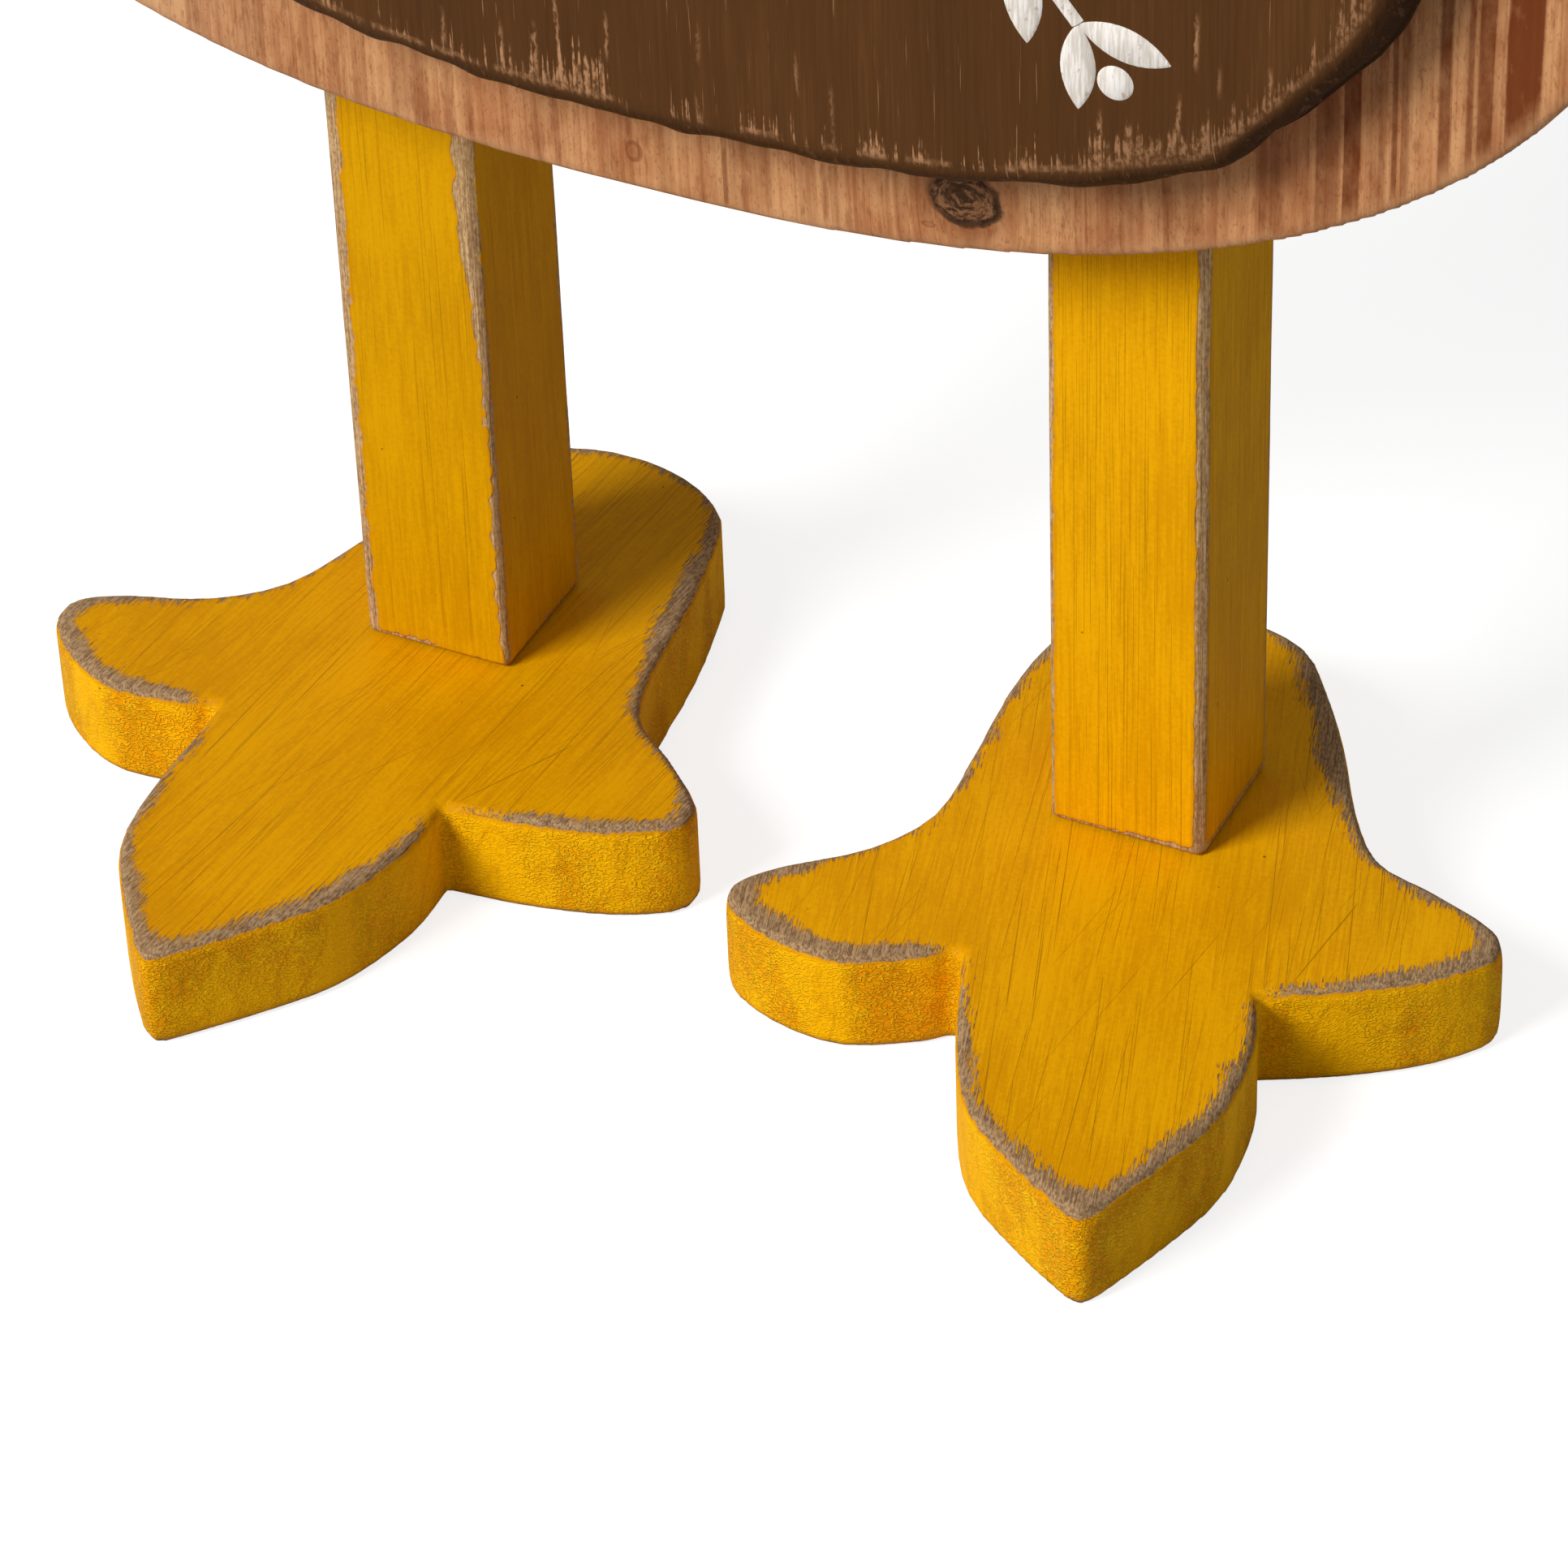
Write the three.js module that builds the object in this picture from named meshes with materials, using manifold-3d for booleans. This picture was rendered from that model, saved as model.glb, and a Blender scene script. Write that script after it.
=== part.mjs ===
// Free-standing wooden turkey: boards cut to outline, glued and screwed together, on two square posts.
// The figure faces -Y and its left and right are the viewer's. Every size is in millimetres.
import * as THREE from 'three';
import { mergeVertices } from 'three/addons/utils/BufferGeometryUtils.js';
import Module from 'manifold-3d';

const wasm = await Module();
wasm.setup();

// Stock: the boards' thicknesses and the square of the posts
const postSide = 25.4;
const footThickness = 18;
const bodyThickness = 18;
const panelThickness = 12;
const headThickness = 15;
const featherThickness = 9;
const snoodThickness = 5;

// Joints between the pieces
const glueLine = 0.3; // between two glued faces
const boreClearance = 0.3; // round each screw, dowel and peg
const overrun = 2; // how far a cutter stands out of the face it enters
const weldDistance = 0.0001; // between corners that are one
const roundSides = 12; // facets of screws, dowels and pegs

// Feet and posts
const postEdgeRadius = 0.7;
const postEndChamfer = 0.5;
const footReach = 97.2; // from the post's axis to the tip of the middle toe's outline
const footHalfSpan = 61.5; // from the foot's centre line to the tip of the longer side toe's outline
const footMargin = 1.5; // of wood that the saw left outside the outline
const footOverlap = 3; // how far the two feet's spans reach past each other, one toe before the other
const footEdgeRadius = 1;
const stance = {
  left: { side: -1, toeOut: -4.8, shiftX: 2.8, shiftY: 0 }, // toe-out in degrees
  right: { side: 1, toeOut: 16.7, shiftX: -0.1, shiftY: -0.6 },
};

// Body oval and the painted panel on its front
const bodyWidth = 292;
const bodyHeight = 190.8;
const bodyClearance = 130.1; // under the body's lowest point
const bodyEdgeRadius = 0.9;
const bodyPower = { lowerLeft: 2.7, lowerRight: 2.19, upper: 2.3 }; // 2 is an ellipse, more is squarer
const panelSideMargin = 29; // of bare body left round the panel
const panelTopMargin = 18.9;
const panelEdgeRadius = 5;
const panelPower = { lowerLeft: 2.38, lowerRight: 2.67, upper: 2.4 };

// Neck and head board
const headHeight = 140;
const headHalfWidth = 40;
const headLap = 56; // how far the neck laps down over the panel
const headEdgeRadius = 2;

// Tail fan: feathers in two layers round one centre behind the body
const fanRise = 6.5; // from the body's centre to the fan's
const frontFeatherLength = 174;
const backFeatherLength = 190;
const featherHalfWidth = 33;
const featherEdgeRadius = 1.2;
const featherStep = 20; // degrees between neighbours, which lie in alternate layers
const frontFeathers = 5;
const backFeathers = 4;

// Face
const eyeRadius = 5.5;
const eyeDome = 4;
const eyeShares = [0.35, 0.85]; // of the head's half width and of its height
const beakRadius = 9;
const beakLength = 25;
const beakHeightShare = 0.75;
const pegRadius = 3;
const pegGrip = 6; // the beak's peg in the head
const eyePegRadius = 1.6;
const eyePegDepth = 7;
const snoodLength = 46;
const snoodHalfWidth = 8.5;
const snoodEdgeRadius = 1;

// Countersunk screws and the dowels of the feet
const screwShank = 2.1;
const screwHead = 4.2;
const screwHeadDepth = 2.8;
const screwRim = 0.4;
const screwPoint = 4;
const screwInset = 0.4; // the head's face under the wood's surface
const recessWidth = 1.1;
const recessLength = 4.8;
const recessDepth = 1.8;
const screwCover = 4; // of wood in front of the last board's screw, less the inset
const footScrewGrip = 36; // the foot's screw in the end of the post
const dowelRadius = 3;
const dowelFloor = 6; // of foot left under a dowel
const dowelChamfer = 0.8;
const dowelShare = 0.26; // of the post's side, from the post's axis both ways
const postScrewShares = [0.38, 0.84]; // of the posts' lap over the body
const panelScrewShares = [[-0.775, 0.5], [0.775, 0.5], [-0.235, 0.24], [0.235, 0.24]];
const headScrewShares = [0.4, 0.33]; // of the head's half width and of its lap
const fanScrewMargin = 18.9; // from the body's top edge to the front layer's screws
const fanScrewStagger = 8; // from the front layer's screws in to the back layer's
const featherRootMargin = 14; // of feather inside its screw

// Depths along Y, from the posts' axes forward and back
const bodyBack = -postSide / 2 - glueLine;
const bodyFront = bodyBack - bodyThickness;
const panelBack = bodyFront - glueLine;
const panelFront = panelBack - panelThickness;
const headBack = panelFront - glueLine;
const headFront = headBack - headThickness;
const frontLayer = bodyBack + glueLine + featherThickness;
const backLayer = frontLayer + glueLine + featherThickness;
const snoodFront = headFront - glueLine - snoodThickness;

// The legs' spacing and the panel's size follow the feet and the body
const postSpacing = 2 * footHalfSpan - footOverlap;
const panelWidth = bodyWidth - 2 * panelSideMargin;
const panelHeight = bodyHeight - 2 * panelTopMargin;

// The fan's screws bite inside the body's edge, and the feathers start inside the screws
const frontScrewRadius = bodyHeight / 2 - fanRise - fanScrewMargin;
const backScrewRadius = frontScrewRadius - fanScrewStagger;
const featherRoot = backScrewRadius - featherRootMargin;

// Heights over the floor; the posts end under the full width of the lowest feathers
const bodyCentre = bodyClearance + bodyHeight / 2;
const panelBottom = bodyCentre - panelHeight / 2;
const headBottom = bodyCentre + panelHeight / 2 - headLap;
const fanCentre = bodyCentre + fanRise;
const lowestFeather = THREE.MathUtils.degToRad(featherStep * (frontFeathers - 1));
const postOuterSide = (postSpacing + postSide) / 2;
const featherDrop = featherHalfWidth / Math.sin(lowestFeather) - postOuterSide / Math.tan(lowestFeather);
const postTop = fanCentre - featherDrop;
const postBottom = footThickness + glueLine;

function paint(color, roughness, metalness = 0) {
  return new THREE.MeshStandardMaterial({ color, roughness, metalness });
}

const materials = {
  yellow: paint(0xdca008, 0.55),
  pine: paint(0xc49468, 0.7),
  brown: paint(0x4f3520, 0.6),
  tan: paint(0x8a5a34, 0.6),
  rust: paint(0x9c3d1c, 0.6),
  orange: paint(0xc96a1e, 0.6),
  cream: paint(0xd9c7a2, 0.6),
  red: paint(0x9a1f1a, 0.5),
  black: paint(0x16120f, 0.3),
  dowel: paint(0xc8a26e, 0.7),
  steel: paint(0xb9a35c, 0.35, 1),
};

// A closed mesh as a solid, and a solid as geometry
function toSolid(geometry) {
  const bare = geometry.clone();
  bare.deleteAttribute('normal');
  bare.deleteAttribute('uv');
  const merged = mergeVertices(bare, weldDistance);
  return new wasm.Manifold(new wasm.Mesh({
    numProp: 3,
    vertProperties: new Float32Array(merged.attributes.position.array),
    triVerts: new Uint32Array(merged.index.array),
  }));
}

function toGeometry(solid) {
  const { vertProperties, triVerts } = solid.getMesh();
  const geometry = new THREE.BufferGeometry();
  geometry.setAttribute('position', new THREE.BufferAttribute(vertProperties, 3));
  geometry.setIndex(new THREE.BufferAttribute(triVerts, 1));
  geometry.computeVertexNormals();
  return geometry;
}

// Cuts the space of each tool out of a piece, both where they stand in the figure
function carve(piece, tools) {
  piece.updateWorldMatrix(true, false);
  const toPiece = piece.matrixWorld.clone().invert();
  let solid = toSolid(piece.geometry);
  for (const tool of tools) {
    tool.updateWorldMatrix(true, false);
    const placed = tool.geometry.clone().applyMatrix4(toPiece.clone().multiply(tool.matrixWorld));
    solid = solid.subtract(toSolid(placed));
  }
  piece.geometry = toGeometry(solid);
}

const turkey = new THREE.Group();

function add(name, geometry, material, x = 0, y = 0, z = 0) {
  const mesh = new THREE.Mesh(geometry, material);
  mesh.name = name;
  mesh.position.set(x, y, z);
  turkey.add(mesh);
  return mesh;
}

// A board cut to an outline with a margin outside it, its edges eased, lying on Z = 0
function flatBoard(shape, thickness, edge, curveSegments, edgeSegments = 1, margin = 0) {
  const geometry = new THREE.ExtrudeGeometry(shape, {
    depth: thickness - 2 * edge,
    curveSegments,
    bevelThickness: edge,
    bevelSize: edge,
    bevelOffset: margin - edge,
    bevelSegments: edgeSegments,
  });
  return geometry.translate(0, 0, edge);
}

// The same board upright, its back on Y = 0 and its front at -thickness
function uprightBoard(shape, thickness, edge, curveSegments, edgeSegments) {
  return flatBoard(shape, thickness, edge, curveSegments, edgeSegments).rotateX(Math.PI / 2);
}

// Smooth stretches through points, which meet in sharp corners
function splineShape(stretches, halfWidth, length) {
  const place = ([u, v]) => new THREE.Vector2(u * halfWidth, v * length);
  const shape = new THREE.Shape();
  const start = place(stretches[0][0]);
  shape.moveTo(start.x, start.y);
  for (const stretch of stretches) {
    shape.splineThru(stretch.slice(1).map(place));
  }
  return shape;
}

// One half of an outline, from bottom to top, joined to its mirror image
function mirroredShape(halfShares, halfWidth, length) {
  const mirrored = halfShares.slice(0, -1).reverse().map(([u, v]) => [-u, v]);
  return splineShape([[...halfShares, ...mirrored]], halfWidth, length);
}

function ovalShape(width, height, power, steps) {
  const points = [];
  for (let i = 0; i < steps; i++) {
    const angle = (2 * Math.PI * i) / steps;
    const c = Math.cos(angle);
    const s = Math.sin(angle);
    const lower = c < 0 ? power.lowerLeft : power.lowerRight;
    const n = s < 0 ? lower : power.upper;
    const x = (width / 2) * Math.sign(c) * Math.abs(c) ** (2 / n);
    const y = (height / 2) * Math.sign(s) * Math.abs(s) ** (2 / n);
    points.push(new THREE.Vector2(x, y));
  }
  return new THREE.Shape(points);
}

// A turned piece from its half profile, the axis along Z
function turned(profile) {
  const points = profile.map(([r, z]) => new THREE.Vector2(r, z));
  return new THREE.LatheGeometry(points, roundSides).rotateX(Math.PI / 2);
}

// Screws point along -Z from the face of the head; a bore is the screw with its clearance
function screwProfile(length, ease, above) {
  return [
    [0, -length - ease],
    [screwShank + ease, -length + screwPoint - ease],
    [screwShank + ease, -screwHeadDepth - ease],
    [screwHead + ease, -ease],
    [screwHead + ease, above],
    [0, above],
  ];
}

function screwGeometry(length) {
  let solid = toSolid(turned(screwProfile(length, 0, screwRim)));
  const floor = screwRim - recessDepth;
  const slot = new THREE.BoxGeometry(recessLength, recessWidth, 2 * recessDepth);
  slot.translate(0, 0, floor + recessDepth);
  solid = solid.subtract(toSolid(slot));
  solid = solid.subtract(toSolid(slot.clone().rotateZ(Math.PI / 2)));
  return toGeometry(solid);
}

// Drives a screw of a given length into boards; (x, y, z) is on the surface it enters
function driveScrew(name, length, boards, x, y, z, turn) {
  const depth = screwRim + screwInset;
  const inward = new THREE.Vector3(0, 0, -depth).applyEuler(turn);
  const screw = add(name, screwGeometry(length), materials.steel, x + inward.x, y + inward.y, z + inward.z);
  screw.rotation.copy(turn);
  const bore = new THREE.Mesh(turned(screwProfile(length, boreClearance, depth + overrun)));
  bore.position.copy(screw.position);
  bore.rotation.copy(turn);
  for (const board of boards) {
    carve(board, [bore]);
  }
}

const fromBelow = new THREE.Euler(Math.PI, 0, 0);
const fromBehind = new THREE.Euler(-Math.PI / 2, 0, 0);

// Foot outline as shares of the half span and of the reach, forward being positive
const middleToeLeftShares = [
  [0, 1], [-0.155, 0.898], [-0.293, 0.78], [-0.35, 0.633], [-0.374, 0.47], [-0.387, 0.408],
];
const heelShares = [
  [-0.387, 0.408], [-0.447, 0.408], [-0.52, 0.429], [-0.715, 0.449], [-0.902, 0.396], [-1, 0.316],
  [-0.894, 0.258], [-0.683, 0.196], [-0.528, 0.092], [-0.46, -0.071], [-0.4, -0.255], [-0.3, -0.408],
  [-0.11, -0.476], [0.11, -0.474], [0.285, -0.413], [0.36, -0.306], [0.426, -0.163], [0.483, 0.01],
  [0.563, 0.133], [0.724, 0.204], [0.891, 0.301], [0.764, 0.378], [0.537, 0.43], [0.302, 0.459],
];
const middleToeRightShares = [[0.302, 0.459], [0.322, 0.582], [0.276, 0.735], [0.171, 0.852], [0, 1]];

function footShape() {
  const forward = (stretch) => stretch.map(([u, v]) => [u, -v]);
  const stretches = [middleToeLeftShares, heelShares, middleToeRightShares].map(forward);
  return splineShape(stretches, footHalfSpan, footReach);
}

function postGeometry(length) {
  const half = postSide / 2;
  const corner = half - postEdgeRadius;
  const shape = new THREE.Shape();
  shape.absarc(corner, corner, postEdgeRadius, 0, Math.PI / 2);
  shape.absarc(-corner, corner, postEdgeRadius, Math.PI / 2, Math.PI);
  shape.absarc(-corner, -corner, postEdgeRadius, Math.PI, 1.5 * Math.PI);
  shape.absarc(corner, -corner, postEdgeRadius, 1.5 * Math.PI, 2 * Math.PI);
  return flatBoard(shape, length, postEndChamfer, 3);
}

function dowelProfile(ease) {
  const end = footThickness - dowelFloor + ease;
  const radius = dowelRadius + ease;
  const half = [[radius, end - dowelChamfer], [radius - dowelChamfer, end], [0, end]];
  return [...half.map(([r, z]) => [r, -z]).reverse(), ...half];
}

// Each leg: a foot screwed and dowelled up into the end of its post
const posts = {};
for (const [name, { side, toeOut, shiftX, shiftY }] of Object.entries(stance)) {
  const axis = (side * postSpacing) / 2;
  const postBlank = postGeometry(postTop - postBottom);
  const post = add(`${name}_post`, postBlank, materials.yellow, axis, 0, postBottom);
  const footBlank = flatBoard(footShape(), footThickness, footEdgeRadius, 3, 1, footMargin);
  const foot = add(`${name}_foot`, footBlank, materials.yellow, axis + shiftX, shiftY, 0);
  foot.rotation.z = THREE.MathUtils.degToRad(toeOut);
  const dowelHeight = footThickness + glueLine / 2 - boreClearance;
  for (const [index, turn] of [[1, -1], [2, 1]]) {
    const y = turn * dowelShare * postSide;
    const x = axis + y;
    add(`${name}_foot_dowel_${index}`, turned(dowelProfile(0)), materials.dowel, x, y, dowelHeight);
    const hole = new THREE.Mesh(turned(dowelProfile(boreClearance)));
    hole.position.set(x, y, dowelHeight);
    carve(foot, [hole]);
    carve(post, [hole]);
  }
  const footScrewLength = footThickness + footScrewGrip;
  driveScrew(`${name}_foot_screw`, footScrewLength, [foot, post], axis, 0, 0, fromBelow);
  posts[name] = post;
}

// Body oval and the panel glued to its front
const bodyOval = ovalShape(bodyWidth, bodyHeight, bodyPower, 96);
const bodyBlank = uprightBoard(bodyOval, bodyThickness, bodyEdgeRadius);
const body = add('body_board', bodyBlank, materials.pine, 0, bodyBack, bodyCentre);
const panelOval = ovalShape(panelWidth, panelHeight, panelPower, 88);
const panelBlank = uprightBoard(panelOval, panelThickness, panelEdgeRadius, undefined, 3);
const panel = add('front_panel', panelBlank, materials.brown, 0, panelBack, bodyCentre);

// Neck and head, one board lapped over the top of the panel
const headHalfShares = [
  [0, 0], [0.5, 0.012], [0.9, 0.06], [0.98, 0.15], [0.8, 0.3], [0.61, 0.44], [0.56, 0.55],
  [0.66, 0.66], [0.81, 0.75], [0.83, 0.85], [0.68, 0.94], [0.35, 0.99], [0, 1],
];
const headShape = mirroredShape(headHalfShares, headHalfWidth, headHeight);
const headBlank = uprightBoard(headShape, headThickness, headEdgeRadius, 3);
const head = add('head_board', headBlank, materials.tan, 0, headBack, headBottom);

// A peg's end, and the socket that takes it with clearance
const pegEnd = (radius, depth) => [[0, -depth], [radius, -depth]];
const sideways = new THREE.Euler(Math.PI / 2, 0, 0);

function drillSocket(peg, radius, depth, boards) {
  const wide = radius + boreClearance;
  const profile = [...pegEnd(wide, depth + boreClearance), [wide, overrun], [0, overrun]];
  const socket = new THREE.Mesh(turned(profile));
  socket.position.copy(peg.position);
  socket.rotation.copy(sideways);
  for (const board of boards) {
    carve(board, [socket]);
  }
}

// Beak turned with a peg, which also pins the snood to the head
const beakShares = [[1, 0], [0.93, 0.2], [0.55, 0.72], [0.2, 0.97], [0, 1]];
const snoodShares = [
  [-0.35, -0.98], [0.25, -1], [0.75, -0.9], [1, -0.72], [0.95, -0.52], [0.78, -0.3], [0.82, -0.08],
  [0.72, 0.1], [0.3, 0.19], [-0.3, 0.19], [-0.74, 0.09], [-0.9, -0.1], [-0.85, -0.34], [-1, -0.6],
  [-0.85, -0.85], [-0.35, -0.98],
];
const beakHeight = headBottom + beakHeightShare * headHeight;
const pegDepth = snoodThickness + 2 * glueLine + pegGrip;
const snoodShape = splineShape([snoodShares], snoodHalfWidth, snoodLength);
const snoodBlank = uprightBoard(snoodShape, snoodThickness, snoodEdgeRadius, 2);
const snood = add('snood', snoodBlank, materials.red, 0, headFront - glueLine, beakHeight);
const beakProfile = [...pegEnd(pegRadius, pegDepth), [pegRadius, 0]];
for (const [across, along] of beakShares) {
  beakProfile.push([across * beakRadius, along * beakLength]);
}
const beak = add('beak', turned(beakProfile), materials.yellow, 0, snoodFront - glueLine, beakHeight);
beak.rotation.copy(sideways);
drillSocket(beak, pegRadius, pegDepth, [snood, head]);

// Eyes: domed buttons on pegs
const eyeProfile = [...pegEnd(eyePegRadius, eyePegDepth), [eyePegRadius, 0]];
const eyeRings = 5;
for (let i = 0; i < eyeRings; i++) {
  const angle = (Math.PI / 2) * (i / eyeRings);
  eyeProfile.push([eyeRadius * Math.cos(angle), eyeDome * Math.sin(angle)]);
}
eyeProfile.push([0, eyeDome]);
for (const [name, { side }] of Object.entries(stance)) {
  const x = side * eyeShares[0] * headHalfWidth;
  const z = headBottom + eyeShares[1] * headHeight;
  const eye = add(`${name}_eye`, turned(eyeProfile), materials.black, x, headFront - glueLine, z);
  eye.rotation.copy(sideways);
  drillSocket(eye, eyePegRadius, eyePegDepth, [head]);
}

// Tail feathers: a front layer on the body's back and a back layer over its gaps
const featherHalfShares = [
  [0, 0], [0.27, 0.006], [0.36, 0.05], [0.54, 0.25], [0.82, 0.48], [1, 0.7], [0.9, 0.85],
  [0.52, 0.955], [0, 1],
];
function addFeathers(layer, { count, length, back, colours, screwRadius, screwLength }) {
  for (let i = 0; i < count; i++) {
    const angle = THREE.MathUtils.degToRad(2 * featherStep * (i - (count - 1) / 2));
    const outline = mirroredShape(featherHalfShares, featherHalfWidth, length);
    const blank = uprightBoard(outline, featherThickness, featherEdgeRadius, 3);
    const x = Math.sin(angle);
    const z = Math.cos(angle);
    const name = `${layer}_feather_${i + 1}`;
    const colour = colours[i % colours.length];
    const feather = add(name, blank, colour, featherRoot * x, back, fanCentre + featherRoot * z);
    feather.rotation.y = angle;
    const screwName = `${layer}_feather_screw_${i + 1}`;
    const screwHeight = fanCentre + screwRadius * z;
    driveScrew(screwName, screwLength, [feather, body], screwRadius * x, back, screwHeight, fromBehind);
  }
}
addFeathers('front', {
  count: frontFeathers,
  length: frontFeatherLength,
  back: frontLayer,
  colours: [materials.rust, materials.orange],
  screwRadius: frontScrewRadius,
  screwLength: featherThickness + glueLine + bodyThickness - screwCover,
});
addFeathers('back', {
  count: backFeathers,
  length: backFeatherLength,
  back: backLayer,
  colours: [materials.cream],
  screwRadius: backScrewRadius,
  screwLength: 2 * (featherThickness + glueLine) + bodyThickness - screwCover,
});

// Screws from behind: the posts into the body, the body into the panel, and both into the head
const postScrewLength = postSide + glueLine + bodyThickness - screwCover;
for (const [name, { side }] of Object.entries(stance)) {
  const x = (side * postSpacing) / 2;
  postScrewShares.forEach((share, index) => {
    const z = bodyClearance + share * (postTop - bodyClearance);
    const boards = [posts[name], body];
    driveScrew(`${name}_post_screw_${index + 1}`, postScrewLength, boards, x, postSide / 2, z, fromBehind);
  });
}
const panelScrewLength = bodyThickness + glueLine + panelThickness - screwCover;
panelScrewShares.forEach(([across, up], index) => {
  const x = (across * panelWidth) / 2;
  const z = panelBottom + up * panelHeight;
  driveScrew(`panel_screw_${index + 1}`, panelScrewLength, [body, panel], x, bodyBack, z, fromBehind);
});
const headScrewLength = bodyThickness + panelThickness + 2 * glueLine + headThickness - screwCover;
for (const [index, side] of [[1, -1], [2, 1]]) {
  const x = side * headScrewShares[0] * headHalfWidth;
  const z = headBottom + headScrewShares[1] * headLap;
  driveScrew(`head_screw_${index}`, headScrewLength, [body, panel, head], x, bodyBack, z, fromBehind);
}

// The origin is on the floor, in the middle of the figure's bounding box
turkey.updateMatrixWorld(true);
const reach = new THREE.Box3().setFromObject(turkey, true);
turkey.position.set(-(reach.min.x + reach.max.x) / 2, -(reach.min.y + reach.max.y) / 2, 0);

export default turkey;
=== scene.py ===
import math

import bpy
import numpy as np
from mathutils import Matrix, Vector, noise


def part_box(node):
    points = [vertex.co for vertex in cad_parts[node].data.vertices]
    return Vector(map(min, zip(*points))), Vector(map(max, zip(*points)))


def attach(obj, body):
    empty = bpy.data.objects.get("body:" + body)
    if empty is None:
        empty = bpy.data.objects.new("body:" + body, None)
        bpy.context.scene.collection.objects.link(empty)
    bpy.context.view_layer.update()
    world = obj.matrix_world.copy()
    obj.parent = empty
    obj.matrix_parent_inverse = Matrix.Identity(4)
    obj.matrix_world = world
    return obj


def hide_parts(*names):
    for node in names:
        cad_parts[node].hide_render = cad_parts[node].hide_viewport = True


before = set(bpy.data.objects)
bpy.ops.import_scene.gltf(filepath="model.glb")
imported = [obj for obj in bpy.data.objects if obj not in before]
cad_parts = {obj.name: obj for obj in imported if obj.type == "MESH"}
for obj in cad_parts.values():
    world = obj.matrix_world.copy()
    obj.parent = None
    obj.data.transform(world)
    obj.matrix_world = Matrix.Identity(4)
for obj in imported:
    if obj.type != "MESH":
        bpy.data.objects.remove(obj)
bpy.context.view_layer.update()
mm = 0.001
print("frame loaded:", len(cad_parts), "pieces of wood and hardware")


def boxOf(node):  # lowest and highest corner in mm
    low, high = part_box(node)
    return np.array(low) / mm, np.array(high) / mm


def middleOf(node):
    low, high = boxOf(node)
    return (low + high) / 2


def tint(red, green, blue):  # screen colour 0-255 to a linear shader colour
    parts = [v / 255 for v in (red, green, blue)]
    return tuple(p / 12.92 if p < 0.04045 else ((p + 0.055) / 1.055) ** 2.4 for p in parts) + (1.0,)


# Camera: the photograph's angle, from a point measured from the middle between the posts at floor level
camera = {
    "place": (377.5, -746.6, 664.8),
    "azimuth": 27.14,
    "elevation": 38.44,
    "roll": -2.265,
    "lens": 153.36,
    "sensor": 36,
}


def addCamera():
    data = bpy.data.cameras.new("photoCamera")
    data.lens = camera["lens"]
    data.sensor_width = camera["sensor"]
    data.clip_start = 0.05
    made = bpy.data.objects.new("photoCamera", data)
    bpy.context.scene.collection.objects.link(made)
    azimuth, elevation, roll = (math.radians(camera[k]) for k in ("azimuth", "elevation", "roll"))
    level = Vector((math.cos(azimuth), math.sin(azimuth), 0))
    back = Vector((math.sin(azimuth) * math.cos(elevation), -math.cos(azimuth) * math.cos(elevation),
                   math.sin(elevation)))
    upright = back.cross(level)
    right = level * math.cos(roll) + upright * math.sin(roll)
    up = upright * math.cos(roll) - level * math.sin(roll)
    legs = (middleOf("left_post") + middleOf("right_post")) / 2
    place = (Vector(camera["place"]) + Vector((legs[0], legs[1], 0))) * mm
    turn = Matrix((right, up, back)).transposed().to_4x4()
    made.matrix_world = Matrix.Translation(place) @ turn
    bpy.context.scene.camera = made


# Shader maths: a wire is a socket that takes part in sums, a finish the nodes of a material or of the world
def operator(operation, reflected=False):
    def apply(wire, other=0.0):
        pair = (other, wire) if reflected else (wire, other)
        return wire.finish.node("Math", dict(enumerate(pair)), {"operation": operation})
    return apply


class Wire:
    def __init__(self, finish, socket):
        self.finish = finish
        self.socket = socket

    __add__ = operator("ADD")
    __radd__ = operator("ADD", True)
    __sub__ = operator("SUBTRACT")
    __rsub__ = operator("SUBTRACT", True)
    __mul__ = operator("MULTIPLY")
    __rmul__ = operator("MULTIPLY", True)
    __truediv__ = operator("DIVIDE")
    __pow__ = operator("POWER")
    __abs__ = operator("ABSOLUTE")
    sine = operator("SINE")
    least = operator("MINIMUM")
    most = operator("MAXIMUM")

    def step(self, low, high):  # 0 below low, 1 above high, smooth between
        sockets = {"Value": self, "From Min": low, "From Max": high}
        return self.finish.node("MapRange", sockets, {"interpolation_type": "SMOOTHSTEP"})

    def between(self, low, high, soft):  # 1 from low to high
        return self.step(low - soft, low + soft) * (1 - self.step(high - soft, high + soft))

    def under(self, share, top):  # a colour with some of another one over it
        return self.finish.mix(share, self, top)

    def split(self):
        first = self.finish.node("SeparateXYZ", {0: self})
        return [Wire(self.finish, socket) for socket in first.socket.node.outputs]

    def turned(self, degrees, axis):
        spin = [0, 0, 0]
        spin[axis] = math.radians(degrees)
        return self.finish.node("Mapping", {"Vector": self, "Rotation": spin})

    def scaled(self, sizes, shift):
        sockets = {
            "Vector": self,
            "Location": (shift, shift * 1.7, shift * 2.3),
            "Scale": tuple(1 / s for s in sizes),
        }
        return self.finish.node("Mapping", sockets)

    def noise(self, sizes, shift, detail=2.0, rough=0.5):  # sizes: mm of one wave on each axis
        sockets = {"Vector": self.scaled(sizes, shift), "Scale": 1.0, "Detail": detail, "Roughness": rough}
        return self.finish.node("TexNoise", sockets)

    def cells(self, sizes, shift):
        return self.finish.node("TexVoronoi", {"Vector": self.scaled(sizes, shift), "Scale": 1.0})


def strongest(wires):  # the greatest value of several wires
    best = wires[0]
    for wire in wires[1:]:
        best = best.most(wire)
    return best


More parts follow.
